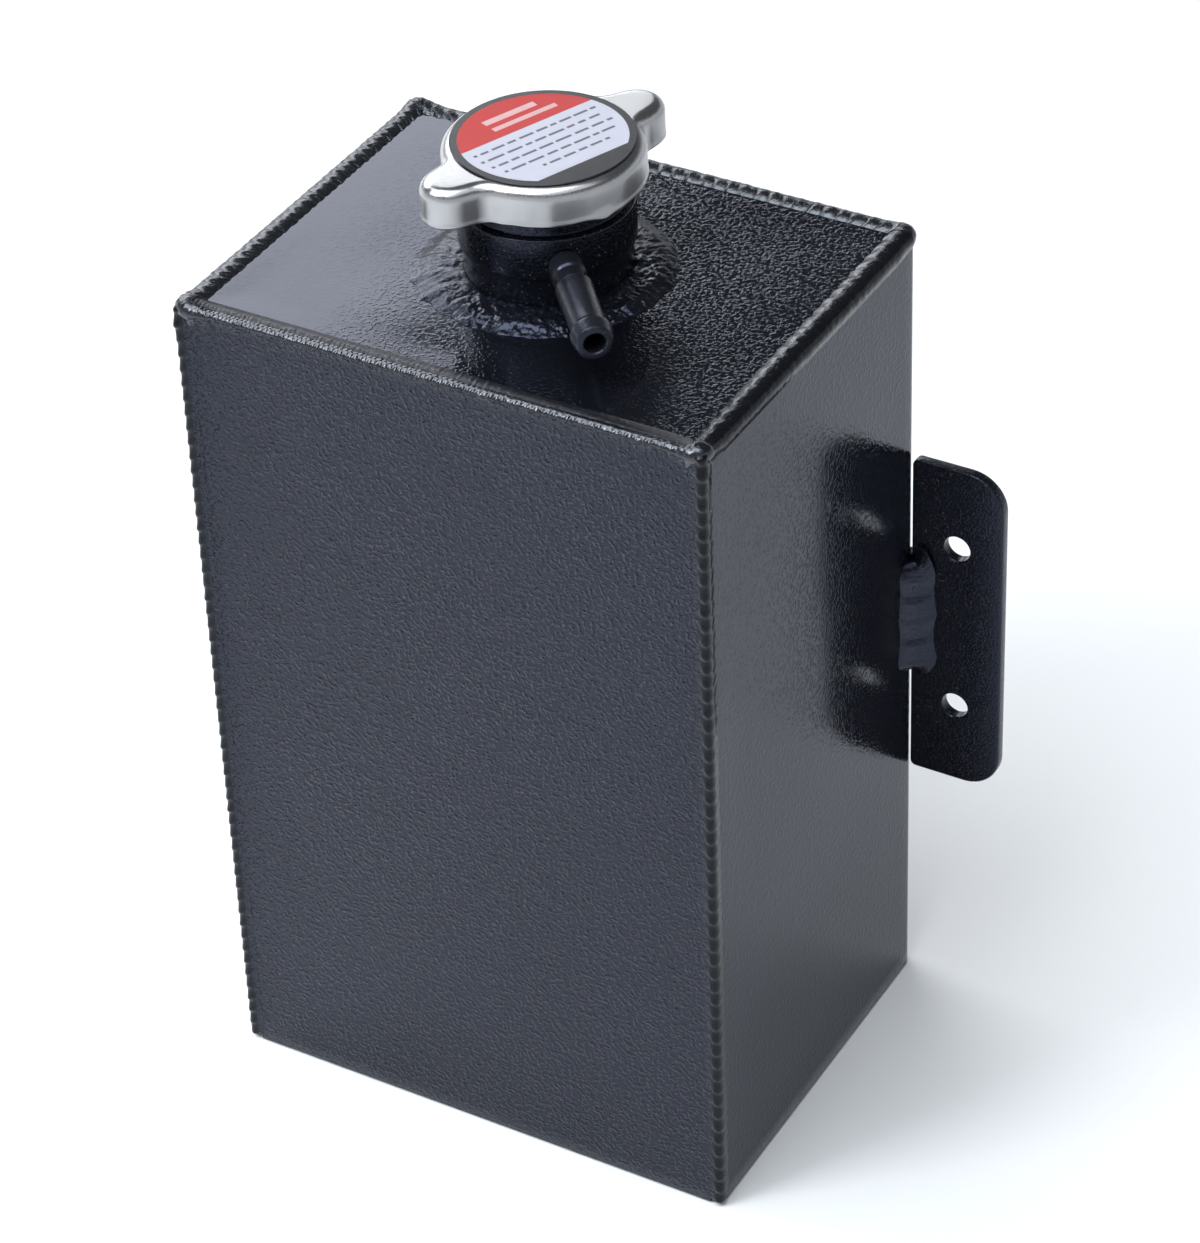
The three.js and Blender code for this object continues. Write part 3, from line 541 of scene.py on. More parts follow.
def bottom():
    bx, by, ch = HX - SHEET - 0.15, HY - SHEET - 0.15, 2.0

    def ring(dx, z, r=1.2, n=8):
        pts = []
        for cx, cy, a0 in ((1, -1, -90), (1, 1, 0), (-1, 1, 90), (-1, -1, 180)):
            rr = max(r - dx * 0.0, 0.3)
            for k in range(n + 1):
                a = rad(a0 + 90 * k / n)
                pts.append((cx * (bx - dx - rr) + rr * math.cos(a), cy * (by - dx - rr) + rr * math.sin(a), z))
        return pts
    loops = [ring(40, 0.0), ring(20, 0.02), ring(6, 0.0), ring(2.25, 0.0), ring(2.0, 0.12), ring(0, ch), ring(0, SHEET), ring(20, SHEET), ring(40, SHEET)]
    v, f = loops_mesh(loops, False)
    n = len(loops[0])
    f.append(tuple(range(n))[::-1])
    f.append(tuple(range((len(loops) - 1) * n, len(loops) * n)))
    make("bottom_plate_sheet", v, f, POWDER, "tank", ["bottom_plate"], 30)

    # weld run laid in the groove round it, its ripples just under flush
    step, loops, pos = 0.55, [], []
    r = 1.6
    ax, ay = bx - 0.95, by - 0.95
    segs = [((-ax + r, -ay), (ax - r, -ay)), None, ((ax, -ay + r), (ax, ay - r)), None, ((ax - r, ay), (-ax + r, ay)), None, ((-ax, ay - r), (-ax, -ay + r)), None]
    cen = [(ax - r, -ay + r, -90), (ax - r, ay - r, 0), (-ax + r, ay - r, 90), (-ax + r, -ay + r, 180)]
    ci = 0
    for s in segs:
        if s:
            (x0, y0), (x1, y1) = s
            L = math.hypot(x1 - x0, y1 - y0)
            nn = int(L / step)
            nx, ny = (y1 - y0) / L, -(x1 - x0) / L
            for k in range(nn):
                pos.append((x0 + (x1 - x0) * k / nn, y0 + (y1 - y0) * k / nn, nx, ny))
        else:
            cx, cy, a0 = cen[ci]
            ci += 1
            for k in range(6):
                a = rad(a0 + 15 * k)
                pos.append((cx + r * math.cos(a), cy + r * math.sin(a), math.cos(a), math.sin(a)))
    sec = [(-1.15, 0.35), (-0.8, 0.16), (-0.35, 0.06), (0.1, 0.03), (0.5, 0.06), (0.8, 0.18), (0.92, 0.5), (0.86, 1.55), (0.5, 1.5), (-0.9, 0.5)]
    t = 0.0
    rows = []
    prev = None
    for x, y, nx, ny in pos:
        if prev is not None:
            t += math.hypot(x - prev[0], y - prev[1])
        prev = (x, y)
        row = []
        for k, (u, z) in enumerate(sec):
            dz = 0.0
            if k < 7:
                w = k / 6
                fr = ((t + 1.2 * (2 * w - 1) ** 2) / 2.1) % 1.0
                dz = 0.22 * (1 - fr) * math.sin(math.pi * (w * 0.9 + 0.05)) + 0.04 * n3(x, y, k, 2.2, 4)
            row.append((x + nx * u, y + ny * u, max(0.02, z + dz)))
        rows.append(row)
    n = len(sec)
    verts = [p for row in rows for p in row]
    faces = []
    m = len(rows)
    for i in range(m):
        for k in range(n):
            a, b = i * n + k, i * n + (k + 1) % n
            c, d = ((i + 1) % m) * n + (k + 1) % n, ((i + 1) % m) * n + k
            faces.append((a, b, c, d))
    make("weld_bottom_run", verts, faces, POWDER_BEAD, "tank", ["weld_bottom"], 50)


# ================================================================== edge beads
FRONT_SEC = [(-5.3, 0.0), (-4.75, 0.2), (-4.0, 0.48), (-3.1, 0.72), (-2.3, 0.8), (-1.75, 0.66), (-1.4, 0.54), (-1.05, 0.66), (-0.65, 0.6),
             (-0.25, 0.32), (0.12, -0.05), (0.34, -0.48), (0.28, -0.85), (0.1, -1.35), (0.03, -3.6)]
RIGHT_SEC = [(-5.0, 0.0), (-4.5, 0.32), (-3.8, 0.6), (-3.0, 0.78), (-2.2, 0.85), (-1.5, 0.8), (-0.9, 0.66), (-0.35, 0.42), (0.1, 0.08),
             (0.42, -0.4), (0.62, -1.0), (0.68, -1.7), (0.55, -2.5), (0.2, -3.3), (-0.02, -4.0)]
LEFT_SEC = [(-5.1, 0.0), (-4.6, 0.36), (-3.9, 0.7), (-3.1, 0.92), (-2.3, 0.98), (-1.5, 0.9), (-0.9, 0.72), (-0.35, 0.44), (0.12, 0.08),
            (0.44, -0.4), (0.64, -1.0), (0.7, -1.7), (0.55, -2.5), (0.2, -3.3), (-0.02, -4.0)]
BACK_SEC = [(-5.0, 0.0), (-4.5, 0.34), (-3.8, 0.66), (-3.1, 0.86), (-2.4, 0.92), (-1.8, 0.86), (-1.3, 0.72), (-0.85, 0.5), (-0.5, 0.25),
            (-0.25, -0.05), (-0.1, -0.5), (-0.05, -1.0), (-0.04, -1.6), (-0.04, -2.3), (-0.04, -3.0)]
#                      weight of the ripples across each section
FRONT_W = [0.1, 0.2, 0.25, 0.25, 0.2, 0.1, 0.15, 0.5, 0.9, 1.0, 1.0, 0.8, 0.4, 0.05, 0.0]
RIGHT_W = [0.9, 1.2, 0.9, 0.5, 0.3, 0.2, 0.2, 0.2, 0.2, 0.2, 0.2, 0.2, 0.2, 0.1, 0.0]
LEFT_W = [0.6, 1.0, 1.0, 0.8, 0.7, 0.6, 0.6, 0.6, 0.5, 0.5, 0.4, 0.3, 0.2, 0.1, 0.0]
BACK_W = [0.7, 1.0, 1.0, 1.0, 1.0, 0.9, 0.8, 0.6, 0.4, 0.2, 0.0, 0.0, 0.0, 0.0, 0.0]
SIDES = {"front": (FRONT_SEC, FRONT_W, 0.24), "right": (RIGHT_SEC, RIGHT_W, 0.2), "back": (BACK_SEC, BACK_W, 0.24), "left": (LEFT_SEC, LEFT_W, 0.26)}


def ripple(ph):
    """one weld ripple per unit of phase: a slow rise and a quick fall"""
    f = ph % 1.0
    return (f / 0.72) ** 1.4 if f < 0.72 else ((1 - f) / 0.28) ** 0.8


def top_ring():
    rc = BEND
    step = 0.2
    samples = []                                # (side position, corner fraction, perimeter length t)
    order = [("front", (-1, -1), (1, -1)), ("right", (1, -1), (1, 1)), ("back", (1, 1), (-1, 1)), ("left", (-1, 1), (-1, -1))]
    t = 0.0
    for i, (side, a, b) in enumerate(order):
        L = (W if side in ("front", "back") else D) - 2 * rc
        st = step if side == "front" else (0.42 if side == "left" else 0.5)
        n = int(L / st)
        for k in range(n):
            samples.append((i, k / n, None, t + L * k / n, L))
        t += L
        nc = 22
        for k in range(nc):
            samples.append((i, None, k / nc, t + rc * math.pi / 2 * k / nc, L))
        t += rc * math.pi / 2
    norm = [(0, -1), (1, 0), (0, 1), (-1, 0)]
    tang = [(1, 0), (0, 1), (-1, 0), (0, -1)]
    names = [o[0] for o in order]
    pitch = {"front": (0.98, 1.6), "right": (4.6, 4.2), "back": (3.4, 3.6), "left": (2.6, 3.2)}
    phase = 0.0
    last_t = 0.0
    rows = []
    jit = 0.0
    for i, f, c, tt, L in samples:
        side = names[i]
        nxt = names[(i + 1) % 4]
        prv = names[(i + 3) % 4]
        # blend of the section of this side with its neighbour's near the corners
        if f is not None:
            s_from_start, s_to_end = f * L, (1 - f) * L
            wn = 0.5 * (1 - smooth(0, 7, s_to_end))
            wp = 0.5 * (1 - smooth(0, 7, s_from_start))
            dist = min(s_from_start, s_to_end) + rc * 0.8
            near = nxt if s_to_end < s_from_start else prv
            wb = max(wn, wp)
            p = pitch[side][0] * (1 - f) + pitch[side][1] * f
        else:
            wb = c if c < 0.5 else 1 - c
            near = nxt
            if c >= 0.5:
                side, near = nxt, side
            wb = 0.5 - abs(c - 0.5) if False else min(c, 1 - c)
            wb = 0.5 + 0.0 * wb if 0.49 < c < 0.51 else (0.5)
            dist = rc * 0.8 * abs(c - 0.5) * 2
            p = 1.7
        S, Wt, A = SIDES[side]
        S2, Wt2, A2 = SIDES[near]
        if c is not None:
            k2 = smooth(0, 1, c)
            a_side, b_side = names[i], names[(i + 1) % 4]
            S, Wt, A = SIDES[a_side]
            S2, Wt2, A2 = SIDES[b_side]
            wb = 0.5
            wb = 0.5 + (0.0 if True else k2)
        phase += (tt - last_t) / p
        last_t = tt
        jit = 0.35 * noise.noise(Vector((tt * 0.21, 3.3, 0))) + 0.28 * noise.noise(Vector((tt * 0.9, 6.1, 0)))
        amp = (A * (1 - wb) + A2 * wb) * (0.95 + 0.9 * noise.noise(Vector((tt * 0.45, 9.1, 0))))
        # lumps at the four corners
        corner_i = i if (f is None or f > 0.5) else (i + 3) % 4
        size = [0.75, 0.55, 1.05, 1.15][corner_i]     # front right, back right, back left, front left
        spread = [3.4, 4.2, 4.6, 4.4][corner_i]
        lump = size * math.exp(-(dist / spread) ** 2)
        row = []
        K = len(S)
        for k in range(K):
            u = S[k][0] * (1 - wb) + S2[k][0] * wb
            v = S[k][1] * (1 - wb) + S2[k][1] * wb
            wt = Wt[k] * (1 - wb) + Wt2[k] * wb
            w = k / (K - 1)
            side_front = names[i] == "front" and f is not None
            curve = 0.9 * (w - 0.62) ** 2 * 6 if side_front else 1.6 * (2 * w - 0.8) ** 2
            skew = (0.55 * (w - 0.6)) * 3 if side_front else 0.0
            r = ripple(phase + jit + (curve + skew) / p)
            rough = 0.13 * n3(tt, k * 0.9, 0, 1.5, 7.7) + 0.05 * n3(tt, k * 1.7, 0, 0.7, 1.7)
            # outward direction of the section
            ang = math.pi / 2 * (1 - smooth(0.3, 0.85, w))
            du, dv = math.cos(ang), math.sin(ang)
            mask = min(1.0, min(k, K - 1 - k) / 2)
            d = amp * wt * (r - 0.35) + rough * mask * (1.0 if wt > 0.15 else 0.4) + lump * mask * (0.35 + 0.65 * math.sin(math.pi * min(1, w * 1.05)))
            if k <= 1:
                d_in = amp * wt * (r - 0.5) * 1.3
                u -= d_in
            u2, v2 = u + du * d, v + dv * d
            if names[i] == "back" and f is not None:
                u2 = min(u2, -0.03)
            row.append((u2, v2))
        edge_u = 0.0 if not (names[i] == "back" and f is not None) else -0.03
        row += [(-0.1, row[-1][1]), (-0.1, -2.85), (-2.85, -2.85), (-2.85, 0.0)]
        pts = []
        for k, (u, v) in enumerate(row):
            hxu, hyu = HX + u, HY + u
            r0 = max(rc + u, 0.5)
            if f is not None:
                n_, t_ = norm[i], tang[i]
                half = (hxu if i in (0, 2) else hyu) - r0
                dist_n = hyu if i in (0, 2) else hxu
                s = -half + 2 * half * f
                x, y = n_[0] * dist_n + t_[0] * s, n_[1] * dist_n + t_[1] * s
            else:
                cx, cy = order[i][2]
                a0 = [-90, 0, 90, 180][i]
                a = rad(a0 + 90 * c)
                x, y = cx * (hxu - r0) + r0 * math.cos(a), cy * (hyu - r0) + r0 * math.sin(a)
            if y > HY - 0.02:
                y = HY - 0.02
            pts.append((x, y, H + v))
        rows.append(pts)
    n, m = len(rows[0]), len(rows)
    verts = [p for r in rows for p in r]
    faces = []
    for i in range(m):
        for k in range(n):
            a, b = i * n + k, i * n + (k + 1) % n
            c, d = ((i + 1) % m) * n + (k + 1) % n, ((i + 1) % m) * n + k
            faces.append((a, b, c, d))
    flush = [1 if samples[q // n][1] is not None and names[samples[q // n][0]] == "front" and q % n in (11, 12, 13, 14) else 0 for q in range(len(faces))]
    flush = [2 if samples[q // n][1] is not None and names[samples[q // n][0]] == "front" and 1 <= q % n <= 4 else k for q, k in enumerate(flush)]
    # the shaded right side of the ring takes the darker coat copy: painted shade
    flush = [3 if samples[q // n][1] is not None and names[samples[q // n][0]] == "right" and 3 <= q % n <= 14 else k for q, k in enumerate(flush)]
    make("weld_top_ring", verts, faces, [POWDER_BEAD, POWDER_FRONT, POWDER_RIDGE, POWDER_SHADED_BEAD], "tank", ["weld_top_front", "weld_top_back", "weld_top_left", "weld_top_right"], 60, face_mats=flush)


def front_bead(side):
    sec = [(-0.03, -3.8), (0.05, -3.1), (0.15, -2.5), (0.28, -1.9), (0.36, -1.3), (0.35, -0.8), (0.22, -0.35), (0.02, 0.0), (-0.3, 0.2),
           (-0.75, 0.32), (-1.2, 0.3), (-1.6, 0.18), (-2.0, 0.06), (-3.6, 0.02)]
    hidden = [(-3.4, -0.4), (-2.6, -2.6), (-0.3, -3.6)]
    wt = [0.0, 0.1, 0.2, 0.3, 0.3, 0.3, 0.4, 0.8, 1.3, 1.5, 1.2, 0.6, 0.1, 0.0]
    step, pitch = 0.45, 3.85
    zs, z = [], 0.25
    while z < 210.3:
        zs.append(z)
        z += step
    rows, phase = [], 0.0
    for j, z in enumerate(zs):
        phase += step / (pitch * (1 + 0.10 * noise.noise(Vector((z * 0.06, side * 5, 2)))))
        top = smooth(-0.6, 1.2, 210.6 - z)
        bot = 0.35 + 0.65 * smooth(0, 1.6, z)
        near_top = math.exp(-((z - 205.5) / 3.0) ** 2) * 0.35
        amp = 0.4 * (1 + 0.5 * noise.noise(Vector((z * 0.15, side * 3, 8)))) + near_top * 0.5
        row = []
        for k, (u, v) in enumerate(sec):
            w = k / (len(sec) - 1)
            d = amp * wt[k] * (ripple(-phase + 0.9 * (2 * w - 1) ** 2 / pitch * 1.8) - 0.35)
            d += 0.07 * n3(z, k * 1.1, side * 9, 1.8, 2.2) * min(1, min(k, len(sec) - 1 - k)) + near_top * math.sin(math.pi * w)
            ang = math.pi / 2 * smooth(0.25, 0.75, w)
            du, dv = math.cos(ang), math.sin(ang)
            uu, vv = u + d * du, v + d * dv
            uu, vv = (uu + 1.2) * top - 1.2, (vv + 1.2) * top - 1.2
            uu, vv = (uu + 1.0) * bot - 1.0 if uu > -1.0 else uu, (vv + 1.0) * bot - 1.0 if vv > -1.0 else vv
            row.append((uu, vv))
        row += hidden
        rows.append([(side * (HX + u), -(HY + v), z) for u, v in row])
    n = len(rows[0])
    verts = [p for r in rows for p in r]
    faces = []
    for i in range(len(rows) - 1):
        for k in range(n):
            a, b = i * n + k, i * n + (k + 1) % n
            faces.append((a, b, b + n, a + n))
    faces.append(tuple(range(n)))
    faces.append(tuple(range((len(rows) - 1) * n, len(rows) * n)))
    name = "left" if side < 0 else "right"
    flush = [1 if q < (len(rows) - 1) * n and q % n in (12, 13) else 0 for q in range(len(faces))]
    # the corner runs take the darker coat copy: painted dark reflection
    make(f"weld_front_{name}_run", verts, faces, [POWDER_SHADED_BEAD, POWDER_FRONT], "tank", [f"weld_front_{name}"], 60, face_mats=flush)


# ================================================================== neck and its weld
def filler_neck():
    prof = rounded([
        (11.6, 207.3, 0.3), (18.7, 207.3, 0.3), (18.7, 218.1, 0.3), (19.6, 218.9, 0.35), (19.6, 228.3, 0.45), (18.2, 228.9, 0.3), (18.2, 234.9, 0.2),
        (20.2, 234.9, 0.3), (20.2, 238.2, 1.2), (15.9, 238.2, 0.5), (15.4, 237.2, 0.3), (15.4, 218.4, 0.3), (11.6, 218.4, 0.4)], 4)
    v, f = lathe(prof, 160)
    ob = make("filler_neck_casting", v, f, [POWDER_FINE], None)
    for deg in (EARS - 90, EARS + 90):
        pts, n = [], 10
        for k in range(n + 1):
            a = rad(deg - 17 + 34 * k / n)
            pts.append((25 * math.cos(a), 25 * math.sin(a)))
        for k in range(n + 1):
            a = rad(deg + 17 - 34 * k / n)
            pts.append((18.2 * math.cos(a), 18.2 * math.sin(a)))
        m = len(pts)
        cv = [(x, y, 233.9) for x, y in pts] + [(x, y, 240.0) for x, y in pts]
        cf = [tuple(range(m))[::-1], tuple(range(m, 2 * m))] + [(k, (k + 1) % m, m + (k + 1) % m, m + k) for k in range(m)]
        boolean(ob, make("c", cv, cf, [POWDER_FINE], None))
        # stop lug
        lv, lf = rounded_box(1.9, 2.2, 2.6, 0.4)
        c, s = math.cos(rad(deg - 109)), math.sin(rad(deg - 109))
        lv = [(c * (x + 19.1) - s * y, s * (x + 19.1) + c * y, z + 233.9) for x, y, z in lv]
        boolean(ob, make("c", lv, lf, [POWDER_FINE], None), "UNION")
    boolean(ob, cyl("c", 3.0, 11.4, 23.6, 40, SPIGOT, (0, 0, SPIGOT_Z)))
    dress(ob, "tank", ["filler_neck"], 32)


def rounded_box(sx, sy, sz, r):
    bm = bmesh.new()
    bmesh.ops.create_cube(bm, size=1.0)
    for v in bm.verts:
        v.co = Vector((v.co.x * sx, v.co.y * sy, v.co.z * sz))
    bmesh.ops.bevel(bm, geom=bm.edges[:], offset=r, segments=3, affect="EDGES", profile=0.5)
    verts = [tuple(v.co) for v in bm.verts]
    faces = [tuple(v.index for v in f.verts) for f in bm.faces]
    bm.free()
    return verts, faces


def puddled_ring(name, r_in, r_toe, z0, env_h, puddles, n_ang, n_rad, rough_amp, nodes, place=None, embed=0.15, foot=0.0, mat=None):
    """a fillet weld round a tube, made of overlapping puddles"""
    loops = [[] for _ in range(n_rad + 1)]
    for i in range(n_ang):
        th = 360.0 * i / n_ang
        R = r_toe(th)
        for j in range(n_rad + 1):
            t = j / n_rad
            tt = t ** 0.9
            r = r_in + (R - r_in) * tt
            h = env_h(th, tt)
            best = 0.0
            for (pt, pr, ht, wr, wt_, tilt) in puddles:
                dth = (th - pt + 180) % 360 - 180
                b = rad(dth) * 24.0 * (r_in / 18.75)
                if abs(b) > wt_ * 1.05:
                    continue
                a = r - pr
                q = 1 - (a / wr) ** 2 - (b / wt_) ** 2
                if q > 0:
                    best = max(best, ht * q ** 0.55 * (1 + tilt * b / wt_))
            fade = smooth(0, 0.1, 1 - tt)
            x, y = r * math.cos(rad(th)), r * math.sin(rad(th))
            ra = rough_amp(th)
            h += best * smooth(0, 0.4, 1 - tt) + ra * fade * (0.6 * n3(x, y, 0, 2.1, 6.1) + 0.5 * n3(x, y, 0, 0.95, 2.9))
            loops[j].append((x, y, z0 + max(h, -0.02) * 1.0 if t < 1 else z0 - 0.02))
    inner = [(x, y, z0 - embed) for x, y, _ in loops[0]]
    outer = [(x, y, z0 - embed) for x, y, _ in loops[-1]]
    v, f = loops_mesh([inner] + loops + [outer])
    if place:
        v = place(v)
    return make(name, v, f, mat or POWDER_BEAD, "tank", nodes, 60)


def neck_weld():
    r2 = random.Random(5)

    def toe(th):
        pts = [(-180, 29.0), (-160, 30.2), (-148, 30.4), (-130, 29.6), (-110, 28.8), (-75, 28.6), (-55, 28.9), (-30, 28.2), (0, 28.0), (40, 28.2), (90, 28.0), (140, 28.4), (180, 29.0)]
        t = (th + 180) % 360 - 180
        for (a, ra), (b, rb) in zip(pts, pts[1:]):
            if a <= t <= b:
                base = ra + (rb - ra) * smooth(a, b, t)
                break
        saw = ripple((t + 3 * noise.noise(Vector((t * 0.05, 1, 1)))) / 15.5)
        amp = 0.9 if t < -105 or t > 150 else 0.4
        return base - amp * 0.6 + amp * saw + 0.25 * noise.noise(Vector((t * 0.3, 4, 4)))

    def env(th, t):
        return 0.02 + 1.75 * max(0.0, 1 - t) ** 0.85 + 0.35 * math.exp(-((t - 0.1) / 0.12) ** 2)

    puddles = []
    th = -182.0
    while th < 178:
        big = th < -105 or th > 140
        w = 6.4 if big else 4.6 + 1.2 * r2.random()
        puddles.append((th, 24.6 + (0.5 if big else r2.uniform(-0.6, 0.6)), 0.75 if big else 0.5 + 0.3 * r2.random(), 5.2 if big else 4.6, w, -0.45))
        th += 15.5 if big else 11.5 + 3.0 * r2.random()

    def rough(th):
        t = (th + 180) % 360 - 180
        return 0.10 + 0.42 * smooth(-120, -100, t) * (1 - smooth(20, 60, t)) + 0.12 * smooth(60, 100, t)
    puddled_ring("neck_weld_run", 18.8, toe, 210.0, env, puddles, 540, 30, rough, ["neck_weld"], mat=POWDER_NECK_WELD)


def side_weld(name, node_name, r_in, r_out, height, y, z, n, seed):
    r2 = random.Random(seed)

    def toe(th):
        return r_out - 0.35 + 0.4 * ripple(th / (360.0 / n)) + 0.15 * noise.noise(Vector((th * 0.1, seed, 0)))

    def env(th, t):
        return height * 0.72 * (1 - t) ** 0.75
    puddles = [(360.0 * k / n + r2.uniform(-2, 2), (r_in + r_out) / 2, height * 0.34, (r_out - r_in) * 0.55, 24.0 * (r_in / 18.75) * math.pi / n * 1.25, -0.5) for k in range(n)]

    def place(v):   # local z becomes the distance out of the left wall
        return [(-(HX + (c - 0.0)), y + a, z + b) for a, b, c in v]
    puddled_ring(name, r_in, toe, 0.0, env, puddles, 300, 16, lambda th: 0.12, [node_name], place, 0.1)


def overflow_spigot():
    prof = rounded([
        (2.3, 16.0), (2.8, 16.0), (2.8, 19.9), (3.75, 19.95, 0.25), (3.85, 20.6, 0.2), (3.85, 24.9, 0.3), (3.45, 25.5, 0.3), (3.5, 28.0, 0.6),
        (4.15, 29.9, 0.35), (4.1, 30.4, 0.2), (3.86, 45.4, 0.8), (3.86, 46.2, 0.4), (4.6, 47.8, 0.35), (4.55, 48.4, 0.4), (4.05, 51.2, 0.3), (3.6, 51.6, 0.3),
        (2.55, 51.6, 0.25), (2.3, 51.3, 0.1)], 4)
    v, f = lathe(prof, 72)
    make("overflow_spigot_tube", lay(v, SPIGOT, 0, 0, SPIGOT_Z), f, POWDER_TUBE, "tank", ["overflow_spigot"], 40)


def left_spigots():
    o = HX
    prof = rounded([
        (7.5, o - 4.5), (9.0, o - 4.5), (9.0, o + 12, 1.0), (9.1, o + 13.5, 1.0), (9.9, o + 15, 0.5), (9.1, o + 19, 1.0), (9.1, o + 22.5, 1.0), (9.9, o + 24, 0.5),
        (9.0, o + 29, 0.6), (8.6, o + 30, 0.4), (7.5, o + 30, 0.3)], 4)
    v, f = lathe(prof, 96)
    make("outlet_spigot_tube", lay(v, 180, 0, 20, 28), f, POWDER_TUBE, "tank", ["outlet_spigot"], 40)
    prof = rounded([
        (2.5, o - 4.5), (4.0, o - 4.5), (4.0, o + 9, 0.6), (4.05, o + 10.2, 0.5), (4.6, o + 11.3, 0.3), (4.0, o + 14.5, 0.6), (4.0, o + 17.5, 0.6), (4.6, o + 18.8, 0.3),
        (3.9, o + 23.4, 0.3), (3.5, o + 24, 0.25), (2.5, o + 24, 0.2)], 4)
    v, f = lathe(prof, 64)
    make("return_spigot_tube", lay(v, 180, 0, 20, 168), f, POWDER_TUBE, "tank", ["return_spigot"], 40)
    side_weld("outlet_weld_run", "outlet_weld", 9.02, 13.0, 3.2, 20, 28, 15, 3)
    side_weld("return_weld_run", "return_weld", 4.02, 7.4, 2.5, 20, 168, 11, 4)


POWDER_TUBE = powder_coat("powder_coat_tube", peel=0.16, grain=1700.0, rough=(0.2, 0.28), tint=(0.007, 0.0075, 0.0095), ior=1.42)
POWDER_BRACKET = powder_coat("powder_coat_bracket", peel=0.4, grain=1600.0, rough=(0.16, 0.24), tint=(0.0028, 0.003, 0.004), speck=0.15)


# ================================================================== brackets
def bracket(side):
    w, z0, z1, r, ri = 23.0, 62.5, 150.5, 9.0, 1.5
    # outline in (out, up) with rounded corners, anticlockwise
    pts = []

    def arc(cx, cz, rr, a0, a1, n):
        for k in range(n + 1):
            a = rad(a0 + (a1 - a0) * k / n)
            pts.append((cx + rr * math.cos(a), cz + rr * math.sin(a)))
    arc(0.15 + ri, z0 + ri, ri, 180, 270, 4)
    arc(w + 0.15 - r, z0 + r, r, -90, 0, 14)
    arc(w + 0.15 - r, z1 - r, r, 0, 90, 14)
    arc(0.15 + ri, z1 - ri, ri, 90, 180, 4)
    # refine long runs so that the plate can carry small dents
    fine = []
    for i, p in enumerate(pts):
        q = pts[(i + 1) % len(pts)]
        L = math.hypot(q[0] - p[0], q[1] - p[1])
        n = max(1, int(L / 3.0))
        for k in range(n):
            fine.append((p[0] + (q[0] - p[0]) * k / n, p[1] + (q[1] - p[1]) * k / n))
    # drop repeated points
    clean = [fine[0]]
    for p in fine[1:]:
        if math.hypot(p[0] - clean[-1][0], p[1] - clean[-1][1]) > 1e-3:
            clean.append(p)
    n = len(clean)

    def inset(d):
        out = []
        for i in range(n):
            a, b = clean[i - 1], clean[(i + 1) % n]
            tx, tz = b[0] - a[0], b[1] - a[1]
            L = math.hypot(tx, tz)
            out.append((clean[i][0] - d * tz / L, clean[i][1] + d * tx / L))
        return out
    e = 0.55
    prof = [(e, 0.0), (e * 0.55, 0.06), (e * 0.2, 0.22), (0.0, e), (0.0, SHEET - e), (e * 0.2, SHEET - 0.22), (e * 0.55, SHEET - 0.06), (e, SHEET)]
    loops = []
    for d, dep in prof:
        loops.append([(side * (HX + o), HY - SHEET + dep, u) for o, u in inset(d)])
    v, f = loops_mesh(loops, False)
    f.append(tuple(range(n)))
    f.append(tuple(range((len(prof) - 1) * n, len(prof) * n)))
    ob = make(f"bracket_{'right' if side > 0 else 'left'}_plate", v, f, [POWDER_BRACKET], None)
    for hz in (84, 129):
        pr = rounded([(0, -1.0), (4.2, -1.0), (3.3, 0.32, 0.3), (3.3, SHEET - 0.32, 0.3), (4.2, SHEET + 1.0), (0, SHEET + 1.0)], 4)
        cv, cf = lathe(pr, 56)
        cv = [(side * (HX + 11.6) + a, HY - SHEET + d, hz + b) for a, b, d in cv]
        boolean(ob, make("c", cv, cf, [POWDER_BRACKET], None))
    nm = "right" if side > 0 else "left"
    dress(ob, "tank", [f"bracket_{nm}"], 32)


